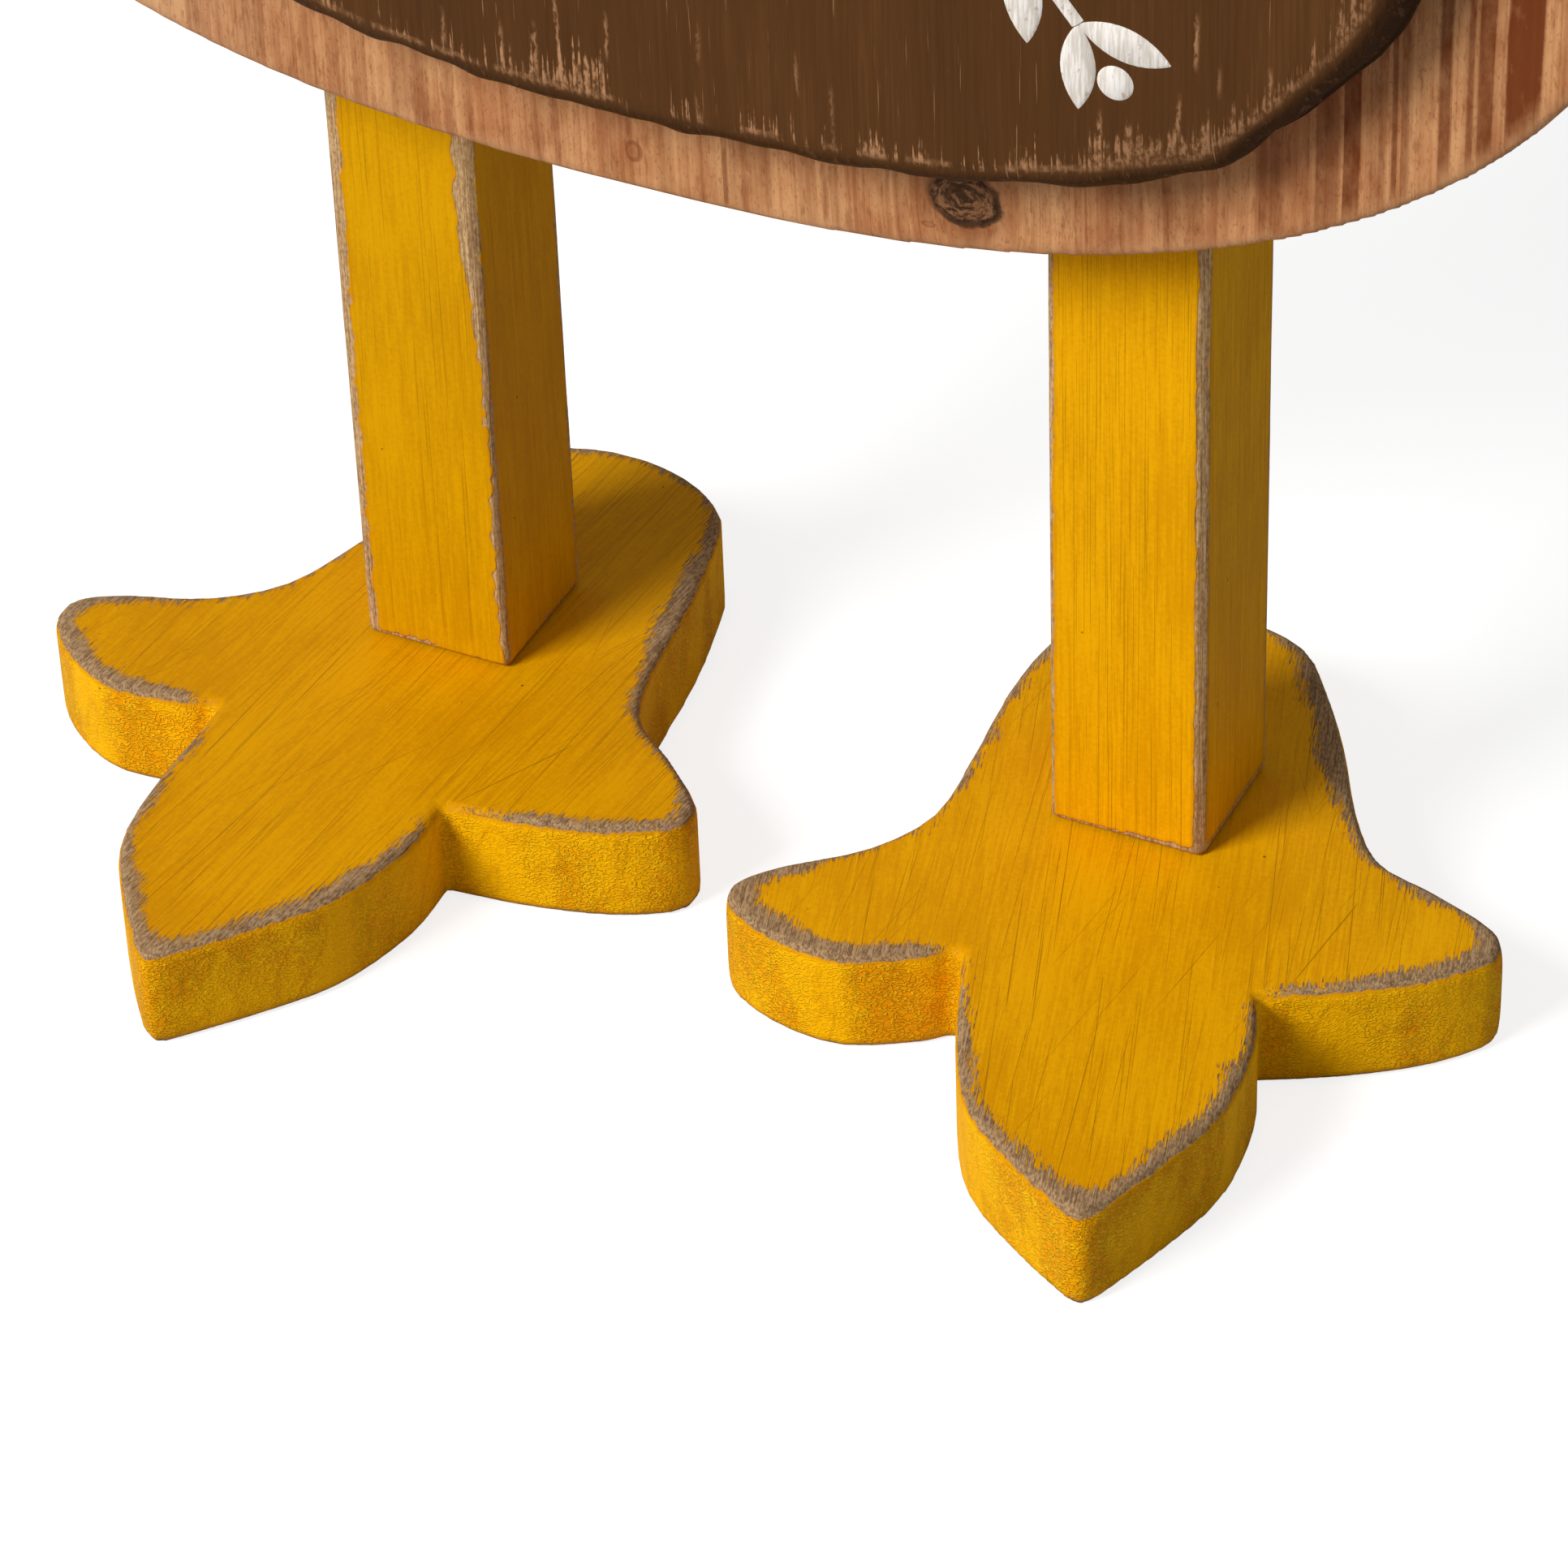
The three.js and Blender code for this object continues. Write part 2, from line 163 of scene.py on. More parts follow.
class Finish:
    def __init__(self, name, store=bpy.data.materials):
        self.owner = store.new(name)
        self.owner.use_nodes = True
        self.tree = self.owner.node_tree
        self.tree.nodes.clear()

    def node(self, kind, sockets=None, settings=None, out=0):
        made = self.tree.nodes.new("ShaderNode" + kind)
        for key, value in (settings or {}).items():
            setattr(made, key, value)
        for key, value in (sockets or {}).items():
            if isinstance(value, Wire):
                self.tree.links.new(value.socket, made.inputs[key])
            else:
                made.inputs[key].default_value = value
        return Wire(self, made.outputs[out]) if made.outputs else None

    def local(self, centre=(0, 0, 0), turn=(0, 0, 0)):  # the piece's own place in mm, from its middle
        world = self.node("TexCoord", out="Object")
        sockets = {
            "Vector": world,
            "Location": tuple(c * mm for c in centre),
            "Rotation": turn,
            "Scale": (mm, mm, mm),
        }
        return self.node("Mapping", sockets, {"vector_type": "TEXTURE"})

    def join(self, x, y, z):
        return self.node("CombineXYZ", {0: x, 1: y, 2: z})

    def mix(self, share, first, second):
        return self.node("Mix", {0: share, 6: first, 7: second}, {"data_type": "RGBA"}, 2)

    def attribute(self, name):
        return self.node("Attribute", settings={"attribute_name": name}, out="Fac")

    def close(self, colour, rough, height, bump, specular=0.5, metallic=0.0):
        sockets = {
            "Base Color": colour,
            "Roughness": rough,
            "Metallic": metallic,
            "Specular IOR Level": specular,
            "Normal": self.node("Bump", {"Strength": bump, "Distance": mm, "Height": height}),
        }
        surface = self.node("BsdfPrincipled", sockets)
        self.node("OutputMaterial", {"Surface": surface})
        return self.owner


def spread(axis, along, across):  # noise sizes, long on one axis
    sizes = [across, across, across]
    sizes[axis] = along
    return sizes


# Stage: a pale floor that stays white to the camera, one soft key light from the front left, and an even sky
stage = {
    "floorSize": 30.0,
    "floorLit": (0.53, 0.53, 0.53, 1.0),
    "floorSeen": (0.38, 0.38, 0.38, 1.0),
    "floorGlow": 0.8,
    "sky": 0.27,
    "keyPlace": (-1.15, -1.95, 1.8),
    "keyAim": (0.0, 0.0, 0.1),
    "keySize": 1.1,
    "keyPower": 82.0,
}


def addStage():
    bpy.ops.mesh.primitive_plane_add(size=stage["floorSize"])
    floor = bpy.context.object
    floor.name = "floor"
    paint = Finish("floorPaper")
    seen = paint.node("LightPath", out="Is Camera Ray")
    colour = paint.mix(seen, stage["floorLit"], stage["floorSeen"])
    matt = paint.node("BsdfDiffuse", {"Color": colour})
    glow = paint.node("Emission", {"Strength": seen * stage["floorGlow"]})
    paint.node("OutputMaterial", {"Surface": paint.node("AddShader", {0: matt, 1: glow})})
    floor.data.materials.append(paint.owner)

    air = Finish("studio", bpy.data.worlds)  # full strength to the camera and in reflections only
    sees = air.node("LightPath", out="Is Camera Ray").most(air.node("LightPath", out="Is Glossy Ray"))
    strength = air.node("MapRange", {"Value": sees, "To Min": stage["sky"]})
    sky = air.node("Background", {"Color": (1, 1, 1, 1), "Strength": strength})
    air.node("OutputWorld", {"Surface": sky})
    bpy.context.scene.world = air.owner

    aim = Vector(stage["keyAim"])
    place = Vector(stage["keyPlace"])
    data = bpy.data.lights.new("keyLight", "AREA")
    data.shape = "SQUARE"
    data.size = stage["keySize"]
    data.energy = stage["keyPower"]
    key = bpy.data.objects.new("keyLight", data)
    key.location = place
    key.rotation_euler = (place - aim).to_track_quat("Z", "Y").to_euler()
    bpy.context.scene.collection.objects.link(key)


# Making pieces
def choose(piece):
    bpy.ops.object.select_all(action="DESELECT")
    piece.select_set(True)
    bpy.context.view_layer.objects.active = piece


def applyModifier(piece, kind, settings):
    choose(piece)
    bpy.ops.object.modifier_add(type=kind)
    modifier = piece.modifiers[-1]
    for key, value in settings.items():
        setattr(modifier, key, value)
    bpy.ops.object.modifier_apply(modifier=modifier.name)


def vertexValues(piece, kind):
    flat = np.empty(len(piece.data.vertices) * 3)
    piece.data.vertices.foreach_get(kind, flat)
    return flat.reshape(-1, 3)


def placesOf(piece):  # in mm
    return vertexValues(piece, "co") / mm


def setPlaces(piece, places):
    piece.data.vertices.foreach_set("co", (places * mm).ravel())
    piece.data.update()


def wander(places, size, shift):  # smooth noise from -1 to 1 at each place, its waves about size mm long
    offset = Vector((shift, shift, shift))
    return np.array([noise.noise(Vector(p) / size + offset) for p in places])


def sawnCopy(name, node, voxel, smoothing=3):
    piece = bpy.data.objects.new(name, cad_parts[node].data.copy())
    bpy.context.scene.collection.objects.link(piece)
    piece.data.materials.clear()
    choose(piece)
    bpy.ops.object.mode_set(mode="EDIT")
    bpy.ops.mesh.select_all(action="SELECT")
    bpy.ops.mesh.remove_doubles(threshold=0.01 * mm)
    bpy.ops.object.mode_set(mode="OBJECT")
    applyModifier(piece, "REMESH", {"mode": "VOXEL", "voxel_size": voxel * mm})
    applyModifier(piece, "SMOOTH", {"factor": 0.5, "iterations": smoothing})
    wrap = {"target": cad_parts[node], "wrap_method": "NEAREST_SURFACEPOINT"}
    applyModifier(piece, "SHRINKWRAP", wrap)
    applyModifier(piece, "SMOOTH", {"factor": 0.5, "iterations": 1})
    return piece


def faceOutwards():  # ends edit mode with the mesh's normals outwards
    bpy.ops.mesh.select_all(action="SELECT")
    bpy.ops.mesh.normals_make_consistent(inside=False)
    bpy.ops.object.mode_set(mode="OBJECT")


def turnedBlank(name, sides, profile):
    # a closed ring for each (radius, height), each one extruded and scaled from the ring before
    bpy.ops.mesh.primitive_circle_add(vertices=sides, radius=profile[0][0] * mm, fill_type="NGON")
    piece = bpy.context.object
    piece.name = name
    bpy.ops.object.mode_set(mode="EDIT")
    bpy.ops.mesh.select_all(action="SELECT")
    for (radius, height), (nextRadius, nextHeight) in zip(profile, profile[1:]):
        rise = {"value": (0, 0, (nextHeight - height) * mm)}
        bpy.ops.mesh.extrude_region_move(TRANSFORM_OT_translate=rise)
        bpy.ops.transform.resize(value=(nextRadius / radius, nextRadius / radius, 1))
    faceOutwards()
    setPlaces(piece, placesOf(piece) + np.array([0, 0, profile[0][1]]))
    return piece


def pegOf(settings):  # the peg that a turned piece starts with, its end bevelled
    radius, length, bevel = settings["pegRadius"], settings["pegLength"], settings["bevel"]
    return [(radius - bevel, -length), (radius, bevel - length), (radius, 0)]


def spun(places, angle):  # x and y of the places after a turn about z
    c, s = math.cos(angle), math.sin(angle)
    return places[:, 0] * c - places[:, 1] * s, places[:, 0] * s + places[:, 1] * c


def stand(piece, place, facing):  # puts a piece made along +Z at its place, its top towards facing
    x, y, z = placesOf(piece).T
    turned = {"front": (x, -z, y), "up": (x, y, z)}[facing]
    setPlaces(piece, np.stack(turned, 1) + np.array(place))


def woodShare(flat, reach, voxel):
    # for each point of a board seen flat, how much of the disc round it is wood: about half at a
    # straight edge, less at a tip and more in a notch
    cell = voxel * 1.5  # wide enough that no cell on the board stays empty
    low = flat.min(0) - reach - 2 * cell
    count = np.ceil((flat.max(0) - low + reach + 2 * cell) / cell).astype(int)
    grid = np.zeros(count)
    column = ((flat - low) / cell).astype(int)
    grid[column[:, 0], column[:, 1]] = 1
    near = [np.minimum(np.arange(n), n - np.arange(n)) * cell for n in count]
    disc = (near[0][:, None] ** 2 + near[1][None, :] ** 2 < reach ** 2).astype(float)
    share = np.fft.irfft2(np.fft.rfft2(grid) * np.fft.rfft2(disc), s=count) / disc.sum()
    spot = (flat - low) / cell - 0.5
    base = np.floor(spot).astype(int)
    part = spot - base
    total = np.zeros(len(flat))
    for i in (0, 1):
        for j in (0, 1):
            weight = np.abs(1 - i - part[:, 0]) * np.abs(1 - j - part[:, 1])
            total += weight * share[base[:, 0] + i, base[:, 1] + j]
    return total


def keepValues(piece, **layers):
    # worn: mm inside the rubbed strip along an edge, under: mm from the lowest place that the rubbing
    # reached, inner: mm from the outline
    for name, values in layers.items():
        layer = piece.data.attributes.new(name, "FLOAT", "POINT")
        layer.data.foreach_set("value", np.broadcast_to(values, len(piece.data.vertices)).astype(np.float32))


def sandBoard(piece, plan, thick, sand, voxel):
    # plan and thick are the board's axes, and its edges are rounded over and marked as worn
    places = placesOf(piece)
    share = woodShare(places[:, plan], sand["reach"], voxel)
    low, high = places[:, thick].min(), places[:, thick].max()
    middle = (low + high) / 2
    half = (high - low) / 2
    depth = half - np.abs(places[:, thick] - middle)
    until = sand["until"]
    for spotX, spotY, size, more in sand.get("rubbed", ()):  # places rubbed wider than the rest
        away = np.hypot(places[:, plan[0]] - spotX, places[:, plan[1]] - spotY)
        until = until + more * np.clip(1 - away / size, 0, 1)
    strip = (until - share) * sand["reach"] * 1.5  # near an edge the share falls by 1 in about 1.5 reaches
    rounding = np.clip((sand["roundFrom"] - share) * 3, 0, 1) ** 2 * sand["round"]
    kept = 1 - rounding / half
    if sand.get("flatBack"):
        kept = np.where(places[:, thick] < middle, 1, kept)
    places[:, thick] = middle + (places[:, thick] - middle) * kept
    setPlaces(piece, places)
    keepValues(piece, worn=strip, under=sand["down"] - depth)


def uprightBoard(name, node, settings):
    piece = sawnCopy(name, node, settings["voxel"])
    sandBoard(piece, [0, 2], 1, settings["sand"], settings["voxel"])
    return piece


def finishPiece(piece, node, material, crease=None):  # crease: degrees from which an edge stays sharp
    piece.data.materials.clear()
    piece.data.materials.append(material)
    choose(piece)
    bpy.ops.object.shade_smooth()
    if crease:
        bpy.ops.object.shade_smooth_by_angle(angle=math.radians(crease))
    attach(piece, "root")
    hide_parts(node)


# Brushed paint over wood: the settings that every painted piece starts from
brushed = {
    "along": 2,  # axis of the brush and of the grain
    "streak": (34, 0.5),  # length and width of a brush mark
    "scores": ((0.3, 2.2, 0.68), (-0.5, 9.4, 0.68)),  # lean in degrees, shift and rarity of the scratches
    "scoreAxis": 1,
    "scoreSize": (60, 0.3),
    "scoreShare": 0.3,
    "score": tint(150, 100, 6),
    "pit": tint(84, 54, 12),
    "wood": tint(208, 172, 124),
    "woodDark": tint(150, 114, 76),
    "crack": tint(96, 70, 48),
    "tuft": (5.0, 0.5),
    "ragged": 1.4,
    "patchy": 1.0,
    "chip": 0.0,
    "crisp": 0.12,
    "lip": tint(206, 132, 10),
    "lipShare": 0.5,
    "gloss": 0.5,
    "specular": 0.04,
    "bump": 0.9,
}


mattCoat = {**brushed, "ragged": 2.6, "patchy": 2.0, "specular": 0.1, "gloss": 0.55}


def paintedWood(name, look, centre, turn=(0, 0, 0), coat=None):
    paint = Finish(name)
    v = paint.local(centre, turn)
    axis = look["along"]
    cloud = v.noise(spread(axis, 34, 17), 3.1)
    streak = v.noise(spread(axis, *look["streak"]), 1.3, 3, 0.6)
    dash = v.noise(spread(axis, 6, 0.6), 7.7)
    speck = v.noise((0.7, 0.7, 0.7), 5.5)
    tone = cloud * 0.3 + streak * 0.32 + dash * 0.2 + speck * 0.18
    if coat is None:
        colour = paint.mix(tone.step(0.40, 0.60), look["dark"], look["light"])
    else:
        colour = coat(paint, v, tone)
    # thin scores left by the brush and the sandpaper, and pinholes
    scores = []
    for degrees, shift, rarity in look["scores"]:
        leaning = v.turned(degrees, look["scoreAxis"])
        line = leaning.noise(spread(axis, *look["scoreSize"]), shift, 1)
        scores.append(line.step(rarity, rarity + 0.035))
    scores = strongest(scores)
    rare = v.noise((15, 15, 15), 8.1)
    pits = (0.034 - v.cells((6.5, 6.5, 6.5), 4.4)).step(0, 0.012) * rare.step(0.42, 0.5)
    colour = colour.under(scores * look["scoreShare"], look["score"])
    height = streak * 0.05 + dash * 0.05 + speck * 0.04 - scores * 0.05
    if "rim" in look:  # sawn end grain shows through the paint on the rim
        rise = v.split()[look["thick"]]
        rim = (look["thickness"] - rise).least(rise).step(0.7, 1.9)
        lumps = v.noise((1.0, 1.0, 0.55), 21.5, 1, 0.4)
        blisters = v.noise((3.4, 3.4, 2.6), 25.5, 3)
        coarse = v.noise((11, 11, 24), 33.5).step(0.34, 0.66)
        crease = 1 - abs(lumps - 0.5).step(0.01, 0.1)
        ring = v.turned(24, 0).noise((6, 6, 40), 31.5, 1) * 20
        bands = (ring.sine() * 0.5 + 0.5) ** 8
        side = paint.mix((blisters * 0.5 + 0.5 - coarse * 0.3).step(0.40, 0.66), look["rimDark"], look["rim"])
        # painted highlight: the crinkle ridges on the rim are lightened to stand in for the light they catch
        side = side.under(crease * (0.14 + coarse * 0.46), look["rimLight"])
        side = side.under(bands * (blisters - 0.2) * 0.6, look["rimBand"])
        # painted shade: the rim darkens in patches over its lowest few mm, towards the floor
        lowShade = (1 - rise.step(1, 9)) * cloud.step(0.46, 0.62)
        side = side.under(lowShade * 0.35, look["rimStain"])
        colour = colour.under(rim, side)
        height = height + rim * (crease * (0.10 + coarse * 0.26) + blisters * 0.1 + bands * 0.08)
    colour = colour.under(pits * 0.8, look["pit"])
    # bare wood with its own fibres where the paint is rubbed away
    fibre = v.noise(spread(axis, 9, 0.3), 6.6, 3, 0.6)
    fleck = v.noise((1.1, 1.1, 1.1), 2.9, 3)
    crack = v.noise(spread(axis, 20, 0.24), 16.2, 1).step(0.62, 0.68)
    pepper = v.noise(spread(axis, 1.0, 0.36), 44.9, 2, 0.6)
    grain = (fibre * 0.45 + fleck * 0.15 + pepper * 0.4).step(0.38, 0.62)
    bare = paint.mix(grain, look["woodDark"], look["wood"])
    bare = bare.under(crack * 0.35, look["crack"])
    stroke = v.noise(spread(axis, *look["tuft"]), 11.3, 2, 0.6)
    patch = v.noise((9, 9, 9), 12.2)
    nick = v.noise((1.6, 1.6, 1.6), 19.4)
    reach = paint.attribute("worn") + (stroke - 0.5) * look["ragged"] + (patch - 0.5) * look["patchy"]
    if look["chip"]:
        reach = reach + (v.cells(spread(axis, 3.2, 1.6), 27.7) - 0.5) * look["chip"]
    reach = reach.least(paint.attribute("under") + (nick - 0.5) * 0.9)
    gone = reach.step(-look["crisp"], look["crisp"])
    lip = reach.step(-0.8, -0.1) * (1 - gone)
    colour = colour.under(lip * look["lipShare"], look["lip"])
    colour = colour.under(gone, bare)
    height = height - pits * 0.3 - gone * 0.16 + (fibre * 0.05 - crack * 0.08) * gone
    rough = look["gloss"] + gone * (0.85 - look["gloss"]) + (speck - 0.5) * 0.16
    return paint.close(colour, rough, height, look["bump"], look["specular"])


# Posts: square legs, their corners chipped and sanded
post = {
    "voxel": 0.6,
    "corners": {  # the corner's side in x and y, the width cut, and the widths rubbed bare on its two faces
        "left": ((-1, -1, 0.8, 2.4, 1), (1, -1, 1, 3.2, 1), (-1, 1, 0.9, 1.4, 1.4), (1, 1, 0.7, 1.1, 1)),
        "right": ((-1, -1, 0.6, 1, 0.8), (1, -1, 1.25, 1.6, 1.3), (-1, 1, 0.9, 1.2, 1.2), (1, 1, 0.7, 1, 1)),
    },
    "slimBelow": 102,  # height under which the bare corners are narrower
    "slimOver": 26,
    "lowest": 0.4,  # width to which a bare corner is worn at least
    "cornerSize": 6,  # how far from a corner's edge the cut reaches
    "skin": 1.5,  # depth of the outer layer that can be worn
    "broad": 13,  # lengths of the waves in the corners' wear
    "fine": 2.6,
    "slimShare": {"left": 0.3, "right": 0.95},
    "slimLeft": 0.75,
    "chips": {"left": 0.8, "right": 0.25},
    "footRound": 1.0,
    "shift": {"left": 2.0, "right": 31.0},
    "look": {
        "left": {
            "dark": tint(199, 140, 0),
            "light": tint(215, 157, 0),
            "chip": 1.2,
            "scores": ((0.3, 2.2, 0.71), (-0.5, 9.4, 0.71)),
            "streak": (20, 0.7),
        },
        "right": {
            "dark": tint(216, 150, 0),
            "light": tint(235, 170, 2),
            "chip": 0.5,
            "scores": ((0.2, 2.2, 0.66), (-0.3, 9.4, 0.66)),
            "scoreShare": 0.34,
            "scoreSize": (60, 0.22),
        },
    },
}


def makePost(side):
    node = side + "_post"
    piece = sawnCopy(side + "Leg", node, post["voxel"], 1)
    low, high = boxOf(node)
    centre = (low + high) / 2
    half = (high[0] - low[0]) / 2
    places = placesOf(piece)
    x = places[:, 0] - centre[0]
    y = places[:, 1] - centre[1]
    z = places[:, 2]
    across = half - np.abs(x)
    along = half - np.abs(y)
    column = np.stack([np.sign(x) * 40, np.sign(y) * 40, z], 1)
    broad = wander(column, post["broad"], post["shift"][side])
    fine = wander(column, post["fine"], post["shift"][side] + 5)
    slim = np.clip((post["slimBelow"] - z) / post["slimOver"], 0, 1)
    width = 1 - (1 - np.where(x > 0, post["slimShare"][side], post["slimLeft"])) * slim
    cut, front, flank = np.zeros((3, len(places)))
    for cornerX, cornerY, *widths in post["corners"][side]:
        here = (np.sign(x) == cornerX) & (np.sign(y) == cornerY)
        cut[here], front[here], flank[here] = widths
    cut = cut * (1 - (1 - width) * 0.4 + 0.1 * broad)
    chips = post["chips"][side] * np.where(x > 0, 1, 0.35)
    front = np.clip(front * width + chips * (0.7 * broad + 0.5 * fine), post["lowest"], None)
    flank = np.clip(flank + 0.2 * fine, post["lowest"], None)
    near = (across < post["cornerSize"]) & (along < post["cornerSize"])
    back = np.where(near, np.clip(cut - across - along, 0, None) / 2, 0)
    places[:, 0] -= np.sign(x) * back
    places[:, 1] -= np.sign(y) * back
    setPlaces(piece, places)
    strip = np.minimum(front - across, flank - along)
    end = post["footRound"] * (1 + 0.6 * broad + 0.5 * fine) - (z - low[2])
    shell = np.minimum(across, along) < post["skin"]
    keepValues(piece, worn=np.where(shell, np.maximum(strip, end), -5), under=5)
    look = {**brushed, "tuft": (4.0, 0.4), "ragged": 0.7, "patchy": 0.4, **post["look"][side]}
    material = paintedWood(side + "LegPaint", look, centre)
    finishPiece(piece, node, material)


# Feet: three toes and a heel, sawn from board, brushed from heel to toe
foot = {
    "voxel": 0.9,
    "tip": (0.40, 0.47),  # share of wood round a point, up to which the toes' tips are blunted
    "blunting": 60,
    "toeOut": {"left": -4.8, "right": 16.7},
    "sand": {"reach": 8.0, "until": 0.67, "round": 1.0, "roundFrom": 0.66, "down": 0.8, "flatBack": True},
    "rubbed": {  # x, y, size and extra share of the places rubbed widest
        "left": ((-27, 38, 30, 0.17), (-65, -70, 18, 0.06), (-51, -50, 18, 0.15), (-107, -13, 30, 0.16),
                 (-10, -30, 22, 0.12), (-82, -56, 26, 0.07)),
        "right": ((81, 46, 34, 0.24), (86, -64, 22, 0.12), (13, -25, 24, 0.15), (36, -27, 20, 0.16),
                  (119, 12, 22, 0.11), (103, -6, 18, 0.08), (94, -42, 20, 0.09), (62, -52, 26, 0.08)),
    },
    "coats": {
        "left": {"dark": tint(208, 141, 0), "light": tint(226, 160, 0)},
        "right": {"dark": tint(217, 149, 0), "light": tint(235, 169, 2)},
    },
    "look": {
        "along": 1,
        "streak": (26, 0.45),
        "scores": ((3.0, 2.2, 0.70), (-2, 9.4, 0.70), (9, 14.8, 0.74), (22, 5.9, 0.76), (-15, 12.1, 0.77)),
        "scoreAxis": 2,
        "scoreSize": (60, 0.2),
        "scoreShare": 0.48,
        "score": tint(112, 72, 8),
        "wood": tint(186, 152, 112),
        "woodDark": tint(124, 95, 66),
        "rim": tint(252, 183, 0),
        "rimDark": tint(241, 156, 0),
        # colour of the painted highlight on the rim's crinkles
        "rimLight": tint(255, 208, 24),
        # colour of the painted shade along the bottom of the rim
        "rimBand": tint(196, 118, 0),
        "rimStain": tint(214, 146, 0),
        "tuft": (3.2, 0.3),
        "ragged": 6.8,
        "patchy": 5.0,
        "thick": 2,
    },
}


def bluntTips(piece):
    share = woodShare(placesOf(piece)[:, :2], foot["sand"]["reach"], foot["voxel"])
    full, none = foot["tip"]
    weight = np.clip((none - share) / (none - full), 0, 1)
    group = piece.vertex_groups.new(name="tips")
    for i in np.flatnonzero(weight):
        group.add([int(i)], weight[i], "REPLACE")
    settings = {"factor": 0.5, "iterations": foot["blunting"], "vertex_group": "tips", "use_z": False}
    applyModifier(piece, "SMOOTH", settings)


def makeFoot(side):
    node = side + "_foot"
    piece = sawnCopy(side + "Foot", node, foot["voxel"])
    bluntTips(piece)
    sandBoard(piece, [0, 1], 2, {**foot["sand"], "rubbed": foot["rubbed"][side]}, foot["voxel"])
    low, high = boxOf(node)
    centre = middleOf(side + "_post")
    centre[2] = low[2]
    look = {**brushed, **foot["coats"][side], **foot["look"], "thickness": high[2] - low[2]}
    material = paintedWood(side + "FootPaint", look, centre, (0, 0, math.radians(foot["toeOut"][side])))
    finishPiece(piece, node, material)


# Body: an oval of bare softwood, grain upright, one knot under the panel's edge
body = {
    "voxel": 1.2,
    "sand": {"reach": 7.0, "until": 0.62, "round": 0.5, "roundFrom": 0.62, "down": 1.2},
    "pale": tint(208, 153, 104),
    "mid": tint(174, 112, 70),
    "bleached": tint(228, 188, 150),
    "red": tint(106, 47, 14),
    "sanded": tint(196, 148, 108),
    "stripes": (  # from x, to x, strength and softness of the dark grain
        (95, 98.8, 0.55, 0.5), (99.3, 102, 0.85, 0.2), (103.4, 105.4, 0.3, 0.5), (106.5, 107.5, 0.75, 0.2),
        (108.1, 109.2, 0.45, 0.3), (113.5, 115.2, 0.8, 0.25), (117.6, 118.5, 0.7, 0.2),
        (119.1, 121.4, 0.8, 0.25), (123.2, 128, 1, 0.35), (117, 121.8, 0.25, 0.4), (86.5, 90, 0.35, 0.8),
        (64.1, 69.4, 0.3, 0.7), (70.6, 78, 0.26, 0.9), (5.8, 12.6, 0.26, 0.8), (-28, -21.6, 0.2, 1.2),
        (-49.7, -43.4, 0.36, 1), (-75, -70.5, 0.2, 1.5), (-38, -36.5, 0.2, 0.5), (-16, -12, 0.16, 1),
        (20, 24, 0.16, 1), (-112, -107, 0.4, 0.6), (-99, -96.8, 0.3, 0.4), (-94.5, -91.2, 0.28, 0.6),
        (-88, -86.6, 0.24, 0.4), (-83.6, -81, 0.28, 0.6),
    ),
    "seam": (5.0, 132.0, 141.0),  # x, lowest and highest z of a thin dark line
    "seamHalf": 0.3,
    "pips": ((-9.8, 136.9, 1.6, 2.0), (37.2, 136.6, 1.2, 0.5)),  # small marks: x, z, half width, half height
    "bleachedTo": (-150, -55),  # x from which, and to which, the pale left end fades into the rest
    "knot": (43.0, 142.4),
    "knotSize": (5.6, 4.6),
    "knotDark": tint(58, 36, 20),
    "knotWood": tint(136, 94, 62),
}


